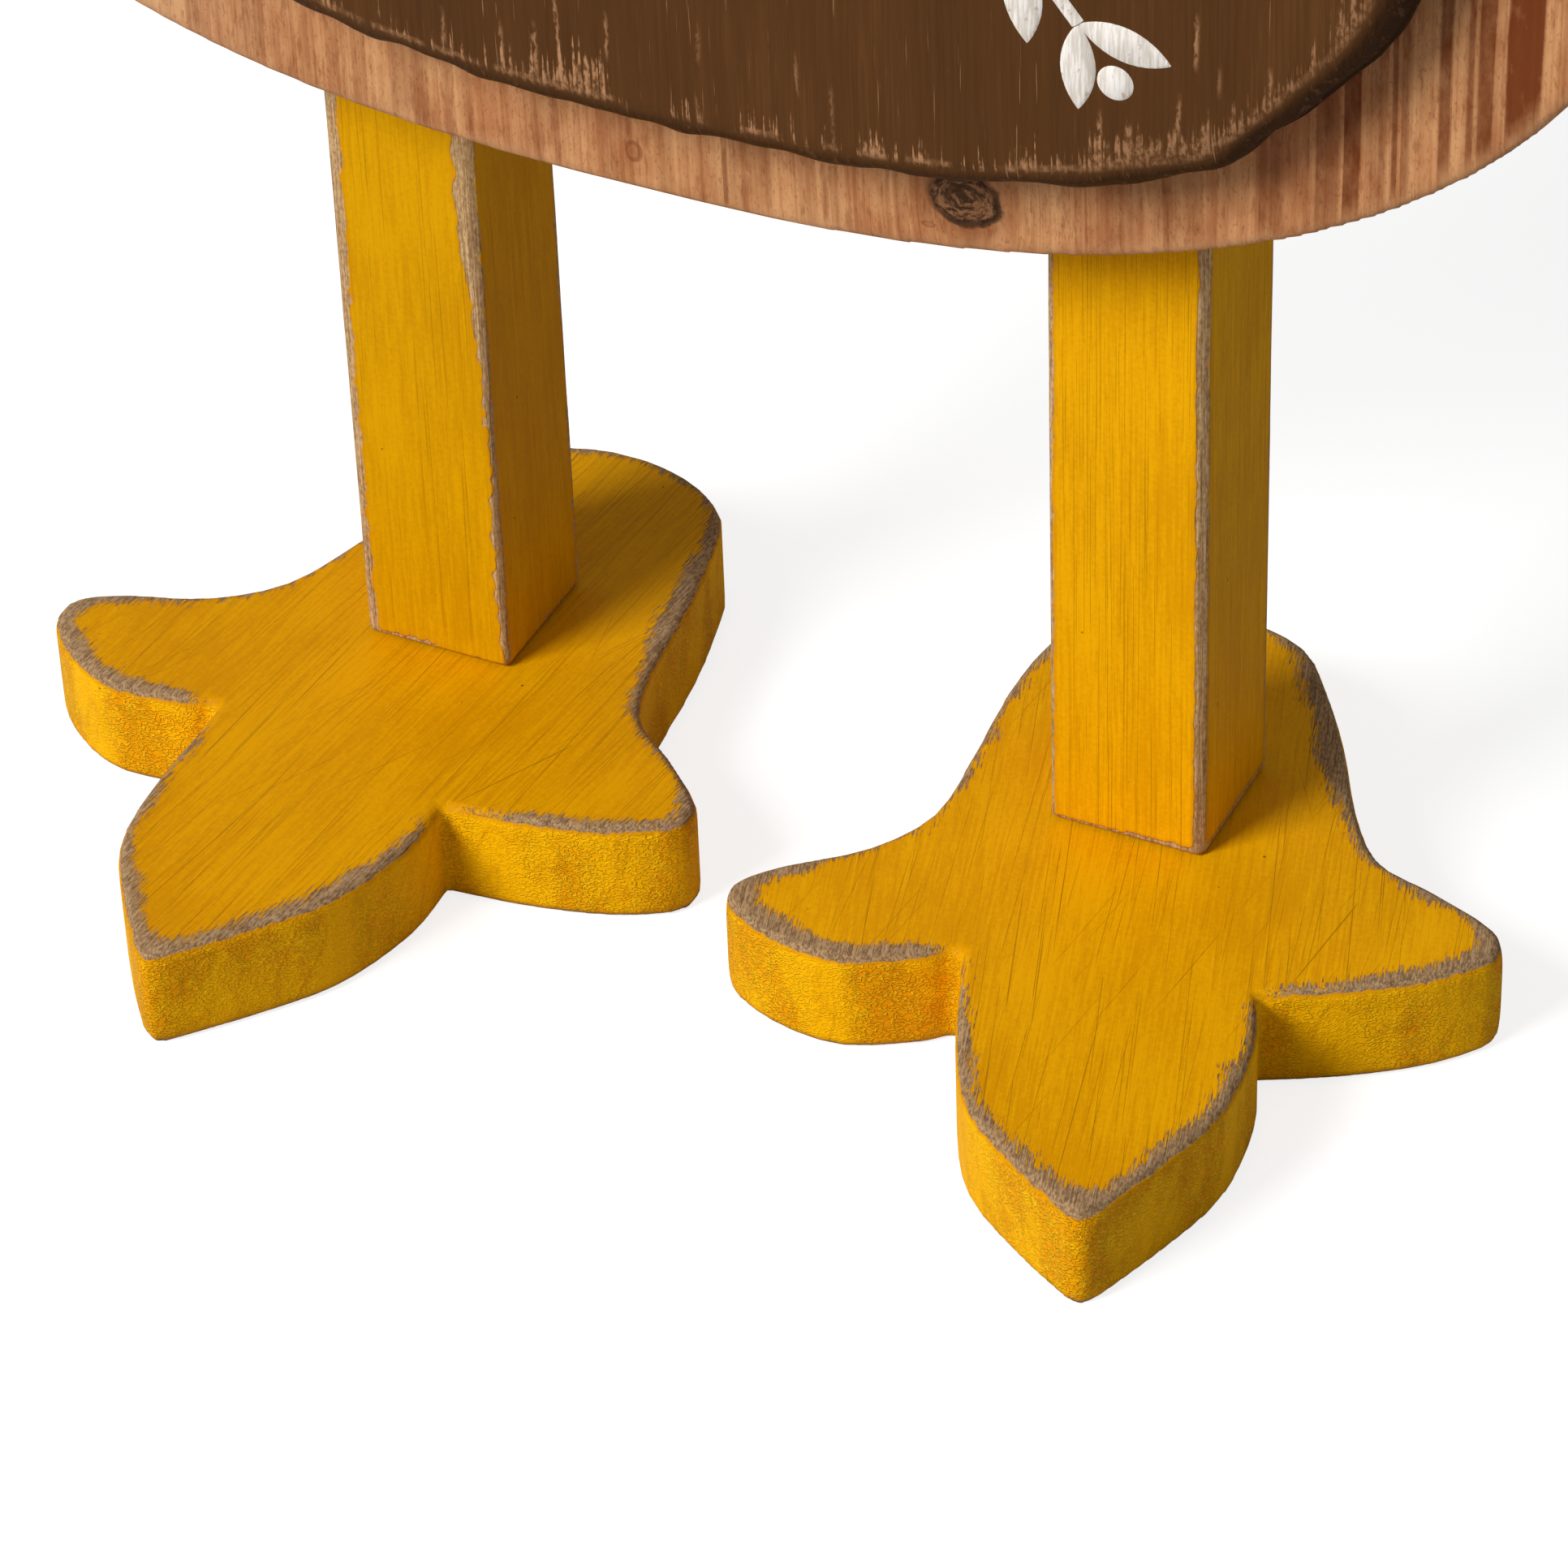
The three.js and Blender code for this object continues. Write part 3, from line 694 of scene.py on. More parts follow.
def bareWood():
    wood = Finish("bareWood")
    v = wood.local()
    x, y, z = v.split()
    knotX, knotZ = body["knot"]
    # the grain swings round the knot
    dx = x - knotX
    dz = z - knotZ
    away = (dx * dx + dz * dz * 0.35) ** 0.5
    push = (1 - away.step(3, 20)) * dx / (away + 4) * 4.5
    drift = v.noise((50, 60, 90), 2.2, 1)
    across = x - push + (drift - 0.5) * 4
    grain = wood.join(across, y, z)
    bands = grain.noise((6.5, 40, 240), 4.1, 2, 0.6)
    lines = grain.noise((1.2, 30, 160), 9.3, 3, 0.65)
    fine = grain.noise((0.3, 6, 22), 7.3, 2, 0.6)
    cloud = v.noise((13, 16, 30), 1.7, 3)
    blush = v.noise((2.2, 3, 5), 12.7, 3, 0.6)
    colour = wood.mix((cloud * 0.45 + lines * 0.3 + blush * 0.25).step(0.38, 0.62), body["pale"], body["mid"])
    colour = colour.under((1 - x.step(*body["bleachedTo"])) * 0.7, body["bleached"])
    soft = (bands * 0.55 + lines * 0.45).step(0.47, 0.62) * 0.26
    colour = colour.under(soft, body["red"])
    fade = 1 - wood.attribute("worn").step(-3.5, -0.5) * 0.75  # sanding pales the grain along the edge
    for start, end, share, edge in body["stripes"]:
        band = (across + (lines - 0.5) * 1.2).between(start, end, edge) * (1.0 + (blush - 0.5) * 0.9) * fade
        colour = colour.under((band * share).least(0.95), body["red"])
    dashes = grain.noise((0.9, 8, 4), 17.7, 3, 0.6).step(0.55, 0.66)
    dots = grain.noise((0.42, 2, 0.8), 27.7).step(0.58, 0.68)
    seamX, seamLow, seamHigh = body["seam"]
    bent = across + (fine - 0.5) * 0.8
    seam = bent.between(seamX - body["seamHalf"], seamX + body["seamHalf"], 0.2)
    seam = seam * z.between(seamLow, seamHigh, 0.8)
    for share in (dashes * 0.3, dots * 0.28, (fine - 0.5).most(0) * 0.9, seam * 0.55):
        colour = colour.under(share, body["red"])
    for pipX, pipZ, halfWidth, halfHeight in body["pips"]:
        px = (x - pipX) / halfWidth
        pz = (z - pipZ) / halfHeight
        pip = (px * px + pz * pz) ** 0.5 + (blush - 0.5) * 0.8
        mark = (1 - abs(pip - 0.8).step(0.08, 0.3)).most((1 - pip.step(0.1, 1.2)) * 0.5)
        colour = colour.under(mark * 0.5, body["red"])
    # knot: a broken dark ring with rough wood inside
    kx = dx / body["knotSize"][0]
    kz = dz / body["knotSize"][1]
    jitter = (v.noise((2.2, 3, 2.2), 19.1, 3) - 0.5) * 0.4
    radius = (kx * kx + kz * kz) ** 0.5 + jitter
    halo = 1 - radius.step(1.0, 1.9)
    lopsided = (kx * 0.5 - kz * 0.6 + 0.7).step(0.1, 1.2)
    ring = (1 - abs(radius - 0.94).step(0.04, 0.18)) * (0.45 + lopsided * 0.55)
    inner = (1 - abs(radius - 0.45).step(0.03, 0.11)) * (1 - lopsided)
    inside = 1 - radius.step(0.92, 0.98)
    spot = 1 - ((kx + 0.1) ** 2 + (kz - 0.12) ** 2).step(0.01, 0.05)
    rays = wood.join(radius * 6, kx * 2.8, kz * 2.8).noise((1, 1, 1), 3.3, 3, 0.7)
    heart = wood.mix(rays.step(0.40, 0.62), body["knotDark"], body["knotWood"])
    tail = (1 - (abs(dx - 1.5) / (1.2 - dz * 0.32).most(0.3)).step(0.6, 1.2)) * (1 - dz.step(-4.5, -2.5))
    for share in (tail * 0.22, halo * 0.4):
        colour = colour.under(share, body["red"])
    colour = colour.under(inside, heart)
    colour = colour.under(strongest([ring, inner, spot]) * 0.9, body["knotDark"])
    colour = colour.under(wood.attribute("worn").step(-2.2, 0.6) * 0.45, body["sanded"])
    height = fine * 0.07 + lines * 0.05 - inside * 0.2 - ring * 0.25 + rays * inside * 0.25
    rough = 0.66 + (blush - 0.5) * 0.2
    return wood.close(colour, rough, height, 0.8, 0.1)


def makeBody():
    piece = uprightBoard("bodyBoard", "body_board", body)
    finishPiece(piece, "body_board", bareWood())


# Panel: a thick painted oval, its edge carved by hand and rubbed back to the wood
panel = {
    "voxel": 1.0,
    "sand": {"reach": 9.0, "until": 0.88, "round": 0.3, "roundFrom": 0.8, "down": 1.7},
    "reach": 24,  # how far in from the outline the marks near the rim are measured
    "wobble": 1.7,
    "waves": (14, 5.5),  # lengths of the wobbles in the outline
    "shoulder": (50, 78),  # x from which the lower rim is carved wider and rubbed all along
    "lowerEnd": (215, 240),  # z over which what belongs to the lower rim fades out
    "carved": 7,
    "carvedShare": 0.6,
    "lip": 5.3,  # from the outline in to the flat front
    "lipLess": 1.2,  # taken off the lip in one stretch
    "lipShort": (76, 92, 8),  # that stretch: from x, to x and softness
    "shaved": (111, 167, 29),  # x, z and size of the lower right part that is cut back
    "shave": (-2.3, 2.6),  # how far it moves at its middle, in x and z
    "rubbedSoft": 1.5,
    "rubbedAt": (  # from x, to x and strength of the clusters of marks along the rim
        (-52, -45, 0.4), (-45, -36, 0.6), (-34.5, -31, 0.5), (-24, -6, 1.0), (14.5, 20.5, 0.6),
        (26.5, 29.5, 0.5), (33, 36.5, 0.5), (40, 46.5, 0.8), (56, 60.5, 0.7), (66.5, 86, 0.9),
    ),
    "strokes": (  # x, lowest z, highest z and strength of the long thin marks
        (-14.3, 157, 169, 0.9), (-6.5, 161, 167.5, 0.8), (-18, 155, 163, 0.8), (-23.2, 157.5, 162, 0.6),
        (-32.5, 157, 162, 0.6), (8.2, 164, 169, 0.4), (23.4, 162.4, 168, 0.5), (28.6, 155, 164, 0.4),
        (69.2, 162, 170, 0.9), (67.4, 174, 177, 1.0), (80.7, 170, 175.5, 0.8), (83.3, 181.7, 188.7, 0.9),
        (86.6, 178, 181.5, 0.4), (94.2, 180.4, 183, 0.8),
    ),
    "strokeHalf": 0.22,
    "strokeSoft": (0.26, 1.6),  # across and at the ends
    "strokeBend": (1.4, 2.0),  # mm that fine and broad noise bend a stroke
    "strokeShare": 0.7,
    "brown": tint(82, 51, 24),
    "brownDark": tint(76, 46, 21),
    "brownLight": tint(95, 60, 30),
    "chip": tint(188, 138, 98),
    "rubbed": tint(178, 130, 88),
    "rubbedDark": tint(118, 80, 50),
    # colour of the painted shade on the rim
    "edge": tint(52, 30, 12),
}


def brownPaint():
    paint = Finish("brownPaint")
    v = paint.local()
    x, y, z = v.split()
    inner = paint.attribute("inner")
    broad = v.noise((12, 14, 60), 1.1)
    streak = v.noise((0.8, 20, 34), 3.3, 3, 0.6)
    fine = v.noise((0.3, 10, 10), 6.1)
    tone = broad * 0.35 + streak * 0.4 + fine * 0.25
    colour = paint.mix(tone.step(0.36, 0.50), panel["brownDark"], panel["brown"])
    colour = colour.under(tone.step(0.50, 0.66) * 0.8, panel["brownLight"])
    # dry strokes where the brush skipped, and ticks that rise from the rim in clusters
    where = v.noise((16, 16, 30), 14.2)
    scores = v.noise((0.3, 30, 14), 4.8, 2, 0.55).step(0.68, 0.74) * where.step(0.46, 0.58)
    soft = panel["rubbedSoft"]
    cluster = strongest([x.between(start, end, soft) * share for start, end, share in panel["rubbedAt"]])
    patch = v.noise((9, 10, 14), 23.1) * 0.5 + 0.12 + cluster * 0.3
    tick = v.noise((0.55, 30, 16), 17.3, 2, 0.6)
    grit = v.noise((0.7, 0.9, 1.6), 31.7, 3, 0.6)
    lower = 1 - z.step(*panel["lowerEnd"])
    shoulder = x.step(*panel["shoulder"]) * lower
    up = inner - (panel["lip"] - x.between(*panel["lipShort"]) * lower * panel["lipLess"])
    rise = ((tick - 0.52) * 26 + (patch - 0.45) * 16) * (1 - shoulder * 0.5)
    rise = rise + (grit - 0.5) * 3 + shoulder * 2.4
    broken = 0.3 + grit.step(0.38, 0.56) * (0.7 - shoulder * 0.3)
    ticks = (rise - up).step(0, 2.6) * up.step(-1.6, 0) * broken
    line = (1 - abs(up + 0.3 + (grit - 0.5)).step(0.2, 0.8)) * (patch + shoulder * 0.3).step(0.40, 0.52)
    chipped = paint.mix((grit * 0.6 + tick * 0.4).step(0.4, 0.6), panel["rubbedDark"], panel["chip"])
    colour = colour.under(scores * 0.6, panel["chip"])
    fineBend, broadBend = panel["strokeBend"]
    bent = x + (grit - 0.5) * fineBend + (where - 0.5) * broadBend
    half = panel["strokeHalf"]
    sideSoft, endSoft = panel["strokeSoft"]
    for strokeX, low, high, share in panel["strokes"]:
        stroke = bent.between(strokeX - half, strokeX + half, sideSoft) * z.between(low, high, endSoft)
        stroke = stroke * grit.step(0.30, 0.55) * share * panel["strokeShare"]
        colour = colour.under(stroke, panel["chip"])
    colour = colour.under(ticks.most(line * (0.7 - shoulder * 0.3)) * 0.72, chipped)
    # painted shade: the rounded-over rim, whose brown paint is whole, is darkened as if in shade, more
    # towards the right shoulder
    edge = 1 - up.step(-3.0, -0.6)
    colour = colour.under(edge * (0.65 + shoulder * 0.25), panel["edge"])
    nibs = v.noise((1.2, 3, 2.4), 41.7, 3, 0.6)
    colour = colour.under(edge * nibs.step(0.60, 0.68) * 0.12, panel["rubbed"])
    height = streak * 0.04 + fine * 0.03 - (scores + ticks) * 0.08 + grit * ticks * 0.12 + edge * nibs * 0.5
    rough = 0.55 + ticks * 0.2 + (fine - 0.5) * 0.15
    return paint.close(colour, rough, height, 0.9, 0.06)


def makePanel():
    piece = uprightBoard("breastPanel", "front_panel", panel)
    places = placesOf(piece)
    share = woodShare(places[:, [0, 2]], panel["reach"], panel["voxel"])
    inner = (share - 0.5) * math.pi / 2 * panel["reach"]
    start, full = panel["shoulder"]
    fade, gone = panel["lowerEnd"]
    low = np.clip((gone - places[:, 2]) / (gone - fade), 0, 1)
    more = np.clip((places[:, 0] - start) / (full - start), 0, 1) * low
    radius = panel["carved"]
    short = np.clip(radius - inner, 0, radius)
    sink = (radius - np.sqrt(radius ** 2 - short ** 2)) * more * panel["carvedShare"]
    front = places[:, 1].min()
    places[:, 1] = np.maximum(places[:, 1], front + sink)
    normals = vertexValues(piece, "normal")
    normals[:, 1] = 0
    broad, fine = panel["waves"]
    shift = wander(places, broad, 3.3) * 0.6 + wander(places, fine, 8.8) * 0.4
    places += normals * (shift * panel["wobble"])[:, None]
    spotX, spotZ, size = panel["shaved"]
    away = np.hypot(places[:, 0] - spotX, places[:, 2] - spotZ) / size
    places[:, [0, 2]] += np.array(panel["shave"]) * (np.clip(1 - away ** 2, 0, 1) ** 2)[:, None]
    setPlaces(piece, places)
    keepValues(piece, inner=inner)
    finishPiece(piece, "front_panel", brownPaint())


# Sprig: leaves in pairs along an arched stem, painted thickly on the panel
sprig = {
    "halfWidth": 66,
    "topHeight": 222,
    "endHeight": 184,
    "stemPower": 2.2,
    "stemRadius": 1.1,
    "pairs": 8,
    "leafLength": 17,
    "leafWidth": 6.6,
    "leafLean": 38,
    "berries": ((71.5, 175.9, 2.7), (0, 228.5, 2.4), (34, 231, 1.7), (54.5, 215.5, 1.7)),
    "leafPoint": 0.42,
    "proud": 0.3,
    "sunk": 0.35,
    "dabTop": 0.86,  # width of a dab's top, as a share of its foot
    "white": tint(236, 231, 224),
    "shade": tint(208, 198, 186),
    "thin": tint(160, 132, 110),
}


def makeDab(length, width, point, base, angle, side):
    # a dab of paint seen from above, from its base on, its ends drawn to points and mirrored for side -1
    full = sprig["sunk"] + sprig["proud"]
    dab = turnedBlank("dab", 32, [(1, 0), (1, sprig["sunk"]), (sprig["dabTop"], full)])
    places = placesOf(dab)
    taper = np.clip(1 - places[:, 0] ** 2, 0.0001, 1) ** point
    places[:, 1] *= taper * width / 2
    places[:, 0] = (places[:, 0] + 1) * length / 2
    x, z = spun(places, angle)
    setPlaces(dab, np.stack([(base[0] + x) * side, base[1] + z, places[:, 2]], 1))
    return dab


def makeSprig():
    front = boxOf("front_panel")[0][1]
    stem = bpy.data.curves.new("sprigStem", "CURVE")
    stem.dimensions = "3D"
    stem.bevel_depth = sprig["stemRadius"] * mm
    stem.bevel_resolution = 2
    stem.use_fill_caps = True
    steps = 40
    line = stem.splines.new("POLY")
    line.points.add(steps)

    def stemPoint(t):  # t from -1 at the left end to 1 at the right
        fall = sprig["topHeight"] - sprig["endHeight"]
        return np.array([sprig["halfWidth"] * t, sprig["topHeight"] - fall * abs(t) ** sprig["stemPower"]])

    for i in range(steps + 1):
        x, z = stemPoint(2 * i / steps - 1)
        line.points[i].co = (x * mm, z * mm, 0, 1)
    arch = bpy.data.objects.new("sprigStem", stem)
    bpy.context.scene.collection.objects.link(arch)
    choose(arch)
    bpy.ops.object.convert(target="MESH")
    arch = bpy.context.object
    places = placesOf(arch)
    places[:, 2] = places[:, 2] * 0.3 + sprig["sunk"]
    setPlaces(arch, places)
    dabs = [arch]
    for side in (-1, 1):
        for i in range(sprig["pairs"]):
            t = (i + 0.5) / (sprig["pairs"] - 0.5)
            base = stemPoint(t)
            ahead = stemPoint(t + 0.02) - base
            course = math.atan2(ahead[1], ahead[0])
            for lean in (-1, 1):
                grown = 0.72 + 0.28 * math.sin(math.pi * (0.25 + 0.6 * t)) + 0.06 * math.sin(7 * i + lean)
                length, width = sprig["leafLength"] * grown, sprig["leafWidth"] * grown
                angle = course + lean * math.radians(sprig["leafLean"])
                dabs.append(makeDab(length, width, sprig["leafPoint"], base, angle, side))
        for x, z, radius in sprig["berries"]:
            if x or side > 0:  # a berry in the middle is painted once
                dabs.append(makeDab(2 * radius, 2 * radius, 0.0, (x - radius, z), 0, side))
    bpy.ops.object.select_all(action="DESELECT")
    for dab in dabs:
        dab.select_set(True)
    bpy.context.view_layer.objects.active = arch
    bpy.ops.object.join()
    piece = bpy.context.object
    piece.name = "paintedSprig"
    stand(piece, (0, front + sprig["sunk"], 0), "front")
    bpy.ops.object.mode_set(mode="EDIT")
    faceOutwards()
    paint = Finish("sprigPaint")
    v = paint.local()
    stroke = v.noise((0.5, 3, 5), 3.4, 3, 0.6)
    thin = v.noise((1.3, 3, 1.6), 8.4, 3, 0.6)
    colour = paint.mix(stroke.step(0.38, 0.62), sprig["shade"], sprig["white"])
    colour = colour.under(thin.step(0.62, 0.72) * 0.5, sprig["thin"])
    material = paint.close(colour, 0.5 + (thin - 0.5) * 0.2, stroke * 0.08, 0.8, 0.12)
    piece.data.materials.clear()
    piece.data.materials.append(material)
    choose(piece)
    bpy.ops.object.shade_smooth_by_angle(angle=math.radians(50))
    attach(piece, "root")


# Head and neck: a tan board with painted eye rings
head = {
    "voxel": 1.0,
    "sand": {"reach": 8.0, "until": 0.70, "round": 1.0, "roundFrom": 0.66, "down": 1.0},
    "eyeRing": (8.2, 0.5),  # radius and softness of the painted ring
    "ring": tint(228, 214, 186),
    "look": {
        "dark": tint(122, 78, 42),
        "light": tint(154, 104, 62),
        "score": tint(84, 52, 28),
        "lip": tint(96, 60, 32),
        "streak": (26, 0.7),
    },
}


def makeHead():
    piece = uprightBoard("headBoard", "head_board", head)
    centre = middleOf("head_board")
    look = {**mattCoat, **head["look"]}
    eye = middleOf("right_eye") - centre

    def headCoat(paint, v, tone):
        x, y, z = v.split()
        colour = paint.mix(tone.step(0.40, 0.60), look["dark"], look["light"])
        wave = (v.noise((3, 3, 3), 6.3) - 0.5) * 0.9
        away = ((abs(x) - eye[0]) ** 2 + (z - eye[2]) ** 2) ** 0.5 + wave
        radius, soft = head["eyeRing"]
        ring = (1 - away.step(radius - soft / 2, radius + soft / 2)) * (1 - y.step(-1, 0))
        return paint.mix(ring * (0.86 + (tone - 0.5)), colour, head["ring"])

    material = paintedWood("headPaint", look, centre, coat=headCoat)
    finishPiece(piece, "head_board", material)


# Snood: a thin red drop under the beak
snood = {
    "voxel": 0.5,
    "sand": {"reach": 3.0, "until": 0.60, "round": 0.9, "roundFrom": 0.75, "down": 0.7},
    "look": {
        "dark": tint(138, 22, 18),
        "light": tint(172, 36, 28),
        "score": tint(92, 14, 12),
        "lip": tint(110, 20, 16),
        "streak": (14, 0.5),
        "scoreSize": (18, 0.3),
        "ragged": 1.6,
        "specular": 0.2,
        "gloss": 0.42,
    },
}


def makeSnood():
    piece = uprightBoard("snoodDrop", "snood", snood)
    look = {**brushed, **snood["look"]}
    finishPiece(piece, "snood", paintedWood("snoodPaint", look, middleOf("snood")))


# Beak: turned, with two grooves round its base and a peg into the head
beak = {
    "sides": 56,
    "shares": (  # of the radius and of the length, from the base to the tip
        (1, 0.01), (1, 0.07), (0.965, 0.085), (0.965, 0.105), (0.99, 0.12), (0.975, 0.19), (0.94, 0.205),
        (0.94, 0.225), (0.955, 0.24), (0.88, 0.34), (0.77, 0.48), (0.65, 0.62), (0.52, 0.75), (0.38, 0.87),
        (0.24, 0.95), (0.1, 0.99), (0.02, 1),
    ),
    "pegRadius": 3.0,
    "pegLength": 11.6,
    "bevel": 0.4,
    "rubbedTip": 1.6,  # length of the tip that is rubbed bare
    "look": {
        "along": 1,
        "dark": tint(206, 136, 4),
        "light": tint(228, 160, 8),
        "streak": (8, 0.5),
        "scoreSize": (12, 0.3),
        "specular": 0.1,
    },
}


def makeBeak():
    low, high = boxOf("beak")
    middle = (low + high) / 2
    radius = (high[0] - low[0]) / 2
    length = high[1] - low[1] - beak["pegLength"]
    profile = pegOf(beak) + [(radius * r, length * h) for r, h in beak["shares"]]
    piece = turnedBlank("turnedBeak", beak["sides"], profile)
    stand(piece, (middle[0], low[1] + length, middle[2]), "front")
    keepValues(piece, worn=low[1] + beak["rubbedTip"] - placesOf(piece)[:, 1], under=5)
    look = {**brushed, **beak["look"]}
    finishPiece(piece, "beak", paintedWood("beakPaint", look, middle), 40)


# Eyes: domed buttons on pegs
eyes = {
    "sides": 48,
    "pegRadius": 1.6,
    "pegLength": 7.0,
    "bevel": 0.3,
    "brim": 0.7,
    "rings": 10,
    "black": tint(24, 19, 16),
    "brown": tint(52, 34, 22),
}


def makeEyes():
    gloss = Finish("blackGloss")
    v = gloss.local()
    swirl = v.noise((2.2, 2.2, 2.2), 4.2)
    scuff = v.noise((0.3, 2, 3.5), 9.2, 3, 0.7)
    colour = gloss.mix(swirl.step(0.42, 0.7) * 0.6, eyes["black"], eyes["brown"])
    material = gloss.close(colour, 0.08 + scuff.step(0.5, 0.75) * 0.2, swirl * 0.03, 0.4)
    for side in ("left", "right"):
        low, high = boxOf(side + "_eye")
        middle = (low + high) / 2
        radius = (high[0] - low[0]) / 2
        dome = high[1] - low[1] - eyes["pegLength"]
        profile = pegOf(eyes) + [(radius - eyes["bevel"], 0.02), (radius, 0.25), (radius, eyes["brim"])]
        for i in range(1, eyes["rings"] + 1):
            angle = math.pi / 2 * i / (eyes["rings"] + 0.4)
            rise = (dome - eyes["brim"]) * math.sin(angle)
            profile.append((radius * math.cos(angle), eyes["brim"] + rise))
        piece = turnedBlank(side + "Button", eyes["sides"], profile)
        stand(piece, (middle[0], low[1] + dome, middle[2]), "front")
        finishPiece(piece, side + "_eye", material, 45)


# Tail feathers: painted boards with a shaft, barbs and bands across the tip
feather = {
    "voxel": 1.25,
    "sand": {"reach": 8.0, "until": 0.66, "round": 0.7, "roundFrom": 0.62, "down": 0.9},
    "step": 20,  # degrees between neighbours, of which every second one is in the same layer
    "barbRise": 0.8,
    "tipRound": 46,
    "shaftWidth": 1.7,
    "bare": 32,  # mm below the tip from which the shaft and the splits are painted
    "coats": {  # dark, light, shaft, then from, to and colour of each band across the tip
        "rust_paint": (
            tint(134, 46, 20), tint(168, 68, 32), tint(88, 34, 18),
            (9, 21, tint(222, 200, 158)), (24, 27, tint(84, 48, 26)),
        ),
        "orange_paint": (
            tint(184, 92, 22), tint(214, 120, 36), tint(122, 58, 20),
            (9, 21, tint(96, 56, 30)), (24, 27, tint(226, 204, 160)),
        ),
        "cream_paint": (
            tint(204, 184, 146), tint(226, 210, 176), tint(138, 96, 58),
            (10, 23, tint(156, 64, 32)), (26, 29, tint(96, 60, 34)),
        ),
    },
    "streak": (24, 0.7),
}


def featherCoat(coat, tip):
    dark, light, shaftColour, *bands = coat

    def coatOf(paint, v, tone):
        x, y, z = v.split()
        side = abs(x)
        barb = paint.join(side, y, z - side * feather["barbRise"])
        vane = barb.noise((12, 30, 0.9), 5.2, 3, 0.6)
        split = barb.noise((20, 30, 2.4), 8.2, 1)
        colour = paint.mix((tone * 0.5 + vane * 0.5).step(0.40, 0.60), dark, light)
        wave = (v.noise((7, 7, 7), 13.3) - 0.5) * 2.2 + (vane - 0.5) * 1.2
        end = tip - z - side * side / (2 * feather["tipRound"]) + wave
        for start, stop, bandColour in bands:
            band = end.between(start, stop, 0.25) * (0.9 + (tone - 0.5))
            colour = colour.under(band, bandColour)
        width = feather["shaftWidth"] * (0.4 + (tip - z) / tip * 0.9)
        below = end - feather["bare"]
        shaft = (1 - side.step(width * 0.75, width)) * below.step(0, 6)
        lines = split.step(0.60, 0.64) * (1 - split.step(0.66, 0.70)) * below.step(0, 4)
        colour = colour.under(lines * 0.55, shaftColour)
        return paint.mix(shaft * 0.85, colour, shaftColour)

    return coatOf


def makeFeathers():
    fan = fanCentre()
    for layer, colours in (("front", ("rust_paint", "orange_paint")), ("back", ("cream_paint",))):
        nodes = sorted(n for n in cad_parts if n.startswith(layer + "_feather_") and "screw" not in n)
        for i, node in enumerate(nodes):
            slot = colours[i % len(colours)]
            angle = math.radians(2 * feather["step"] * (i - (len(nodes) - 1) / 2))
            piece = uprightBoard(layer + "Feather" + str(i + 1), node, feather)
            places = placesOf(piece)
            along = (places[:, 0] - fan[0]) * math.sin(angle) + (places[:, 2] - fan[2]) * math.cos(angle)
            coat = feather["coats"][slot]
            look = {**mattCoat, "score": coat[2], "lip": coat[0], "streak": feather["streak"]}
            dress = featherCoat(coat, along.max())
            material = paintedWood(piece.name + "Paint", look, fan, (0, angle, 0), dress)
            finishPiece(piece, node, material)


def fanCentre():  # where the feathers' centre lines meet, from the slants of the two lowest feathers' screws
    left = middleOf("front_feather_screw_1")
    right = middleOf("front_feather_screw_5")
    reach = (right[0] - left[0]) / 2
    slant = math.radians(feather["step"] * 4)
    return np.array([(left[0] + right[0]) / 2, 0, left[2] - reach / math.tan(slant)])


# Screws: yellow-zinc countersunk screws with a cross recess
screw = {
    "sides": 40,
    "profile": (  # radius and depth under the head's face
        (4.05, 0), (4.2, 0.12), (4.2, 0.4), (2.3, 3.2), (2.1, 3.6), (2.1, 20.0), (0.9, 22.8), (0.1, 24.0),
    ),
    "recess": (4.8, 1.1, 1.8),  # length, width and depth of each arm of the cross
    "narrowing": 0.45,  # width of the recess at its bottom, as a share
    "zinc": tint(206, 178, 108),
    "zincDark": tint(158, 128, 66),
    "grime": tint(70, 56, 34),
}


def makeScrewMaster():
    piece = turnedBlank("screwMaster", screw["sides"], screw["profile"])
    length, width, depth = screw["recess"]
    for turn in (0, math.pi / 2):
        bpy.ops.mesh.primitive_cube_add(size=mm)
        cutter = bpy.context.object
        bpy.ops.object.mode_set(mode="EDIT")
        bpy.ops.mesh.select_all(action="SELECT")
        bpy.ops.transform.resize(value=(length, width, 2 * depth))
        bpy.ops.object.mode_set(mode="OBJECT")
        places = placesOf(cutter)
        places[:, :2] *= np.where(places[:, 2:] > 0, screw["narrowing"], 1)
        setPlaces(cutter, np.stack([*spun(places, turn), places[:, 2]], 1))
        applyModifier(piece, "BOOLEAN", {"operation": "DIFFERENCE", "object": cutter, "solver": "EXACT"})
        bpy.data.objects.remove(cutter)
    return piece


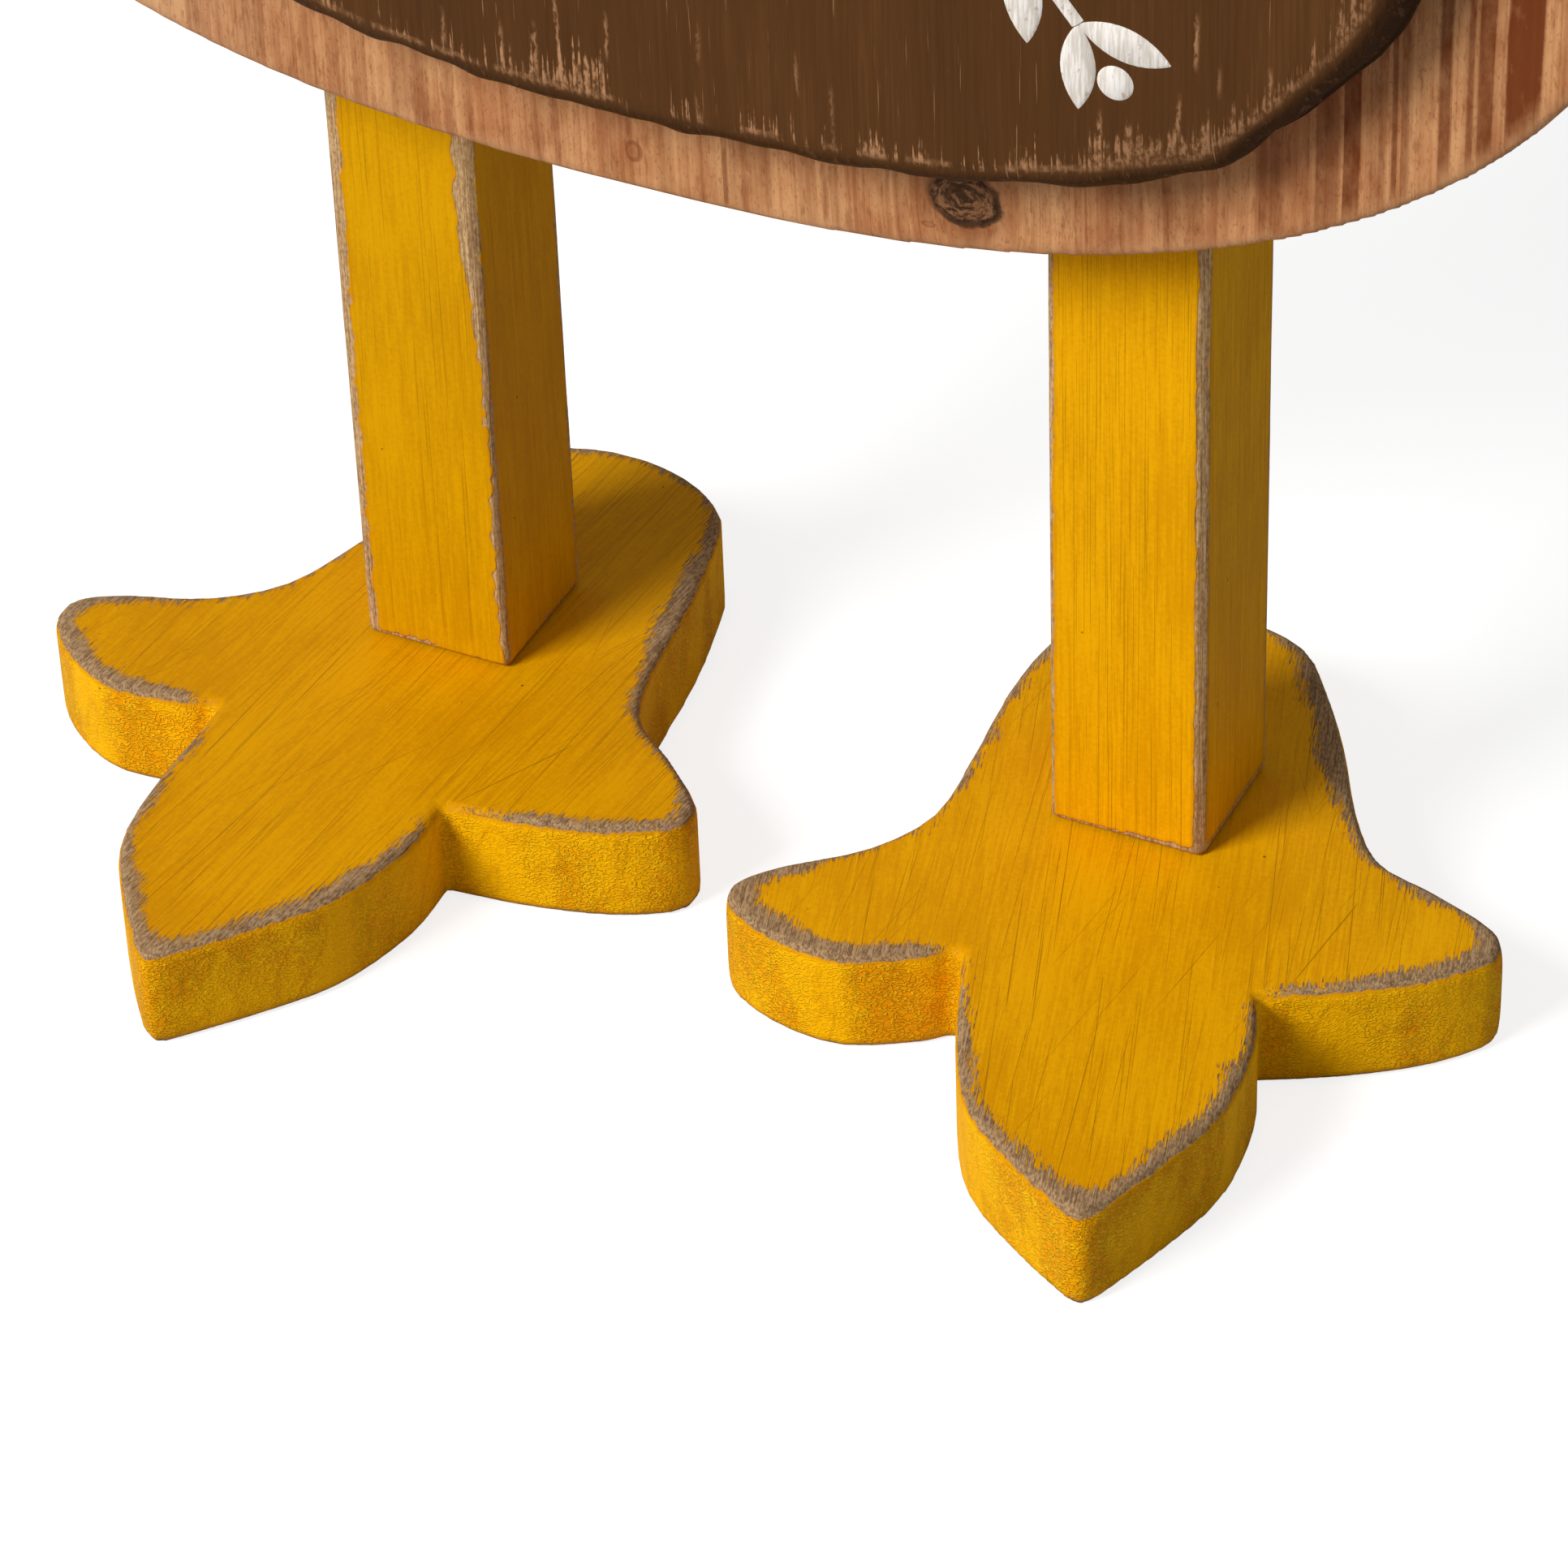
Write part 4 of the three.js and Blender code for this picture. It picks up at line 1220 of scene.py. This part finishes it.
def zincSteel():
    steel = Finish("yellowZinc")
    v = steel.local()
    blotch = v.noise((1.6, 1.6, 1.6), 2.4, 3)
    scratch = v.noise((0.25, 0.25, 2.6), 7.4, 2, 0.6)
    colour = steel.mix(blotch.step(0.38, 0.66), screw["zinc"], screw["zincDark"])
    colour = colour.under(scratch.step(0.6, 0.72) * 0.5, screw["grime"])
    rough = 0.28 + blotch.step(0.4, 0.7) * 0.25
    return steel.close(colour, rough, scratch * 0.05, 0.5, metallic=1.0)


def makeScrews():
    master = makeScrewMaster()
    material = zincSteel()
    whole = screw["profile"][-1][1]
    nodes = sorted(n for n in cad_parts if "screw" in n)
    for i, node in enumerate(nodes):
        low, high = boxOf(node)
        middle = (low + high) / 2
        size = high - low
        words = node.split("_")
        piece = master.copy()
        piece.data = master.data.copy()
        piece.name = words[0] + "".join(word.capitalize() for word in words[1:])
        bpy.context.scene.collection.objects.link(piece)
        places = placesOf(piece)
        places[places[:, 2] > whole / 2, 2] += max(size[1], size[2]) - whole
        turn = 0.7 + 2.4 * i  # driven home at any angle
        setPlaces(piece, np.stack([*spun(places, turn), places[:, 2]], 1))
        if size[2] > size[1]:
            stand(piece, (middle[0], middle[1], low[2]), "up")
        else:
            stand(piece, (middle[0], high[1], middle[2]), "front")
        finishPiece(piece, node, material, 35)
    bpy.data.objects.remove(master)


# Dowels: turned birch, the frame's own shape with a better finish
dowel = {
    "pale": tint(214, 180, 132),
    "dark": tint(184, 144, 96),
}


def finishDowels():
    birch = Finish("birchDowel")
    v = birch.local()
    grain = v.noise((0.5, 0.5, 16), 3.7, 3, 0.6)
    pore = v.noise((0.2, 0.2, 2), 8.7)
    colour = birch.mix((grain * 0.7 + pore * 0.3).step(0.38, 0.62), dowel["dark"], dowel["pale"])
    material = birch.close(colour, 0.6 + (pore - 0.5) * 0.2, grain * 0.08, 0.7, 0.2)
    for name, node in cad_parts.items():
        if "dowel" in name:
            for place in node.material_slots:
                place.material = material


addCamera()
addStage()
print("camera and stage ready")
for side in ("left", "right"):
    makePost(side)
    makeFoot(side)
print("posts and feet ready")
makeBody()
makePanel()
makeSprig()
print("body and panel ready")
makeHead()
makeSnood()
makeBeak()
makeEyes()
print("head ready")
makeFeathers()
print("feathers ready")
makeScrews()
finishDowels()
print("screws and dowels ready")

bpy.context.scene.view_settings.view_transform = "Standard"
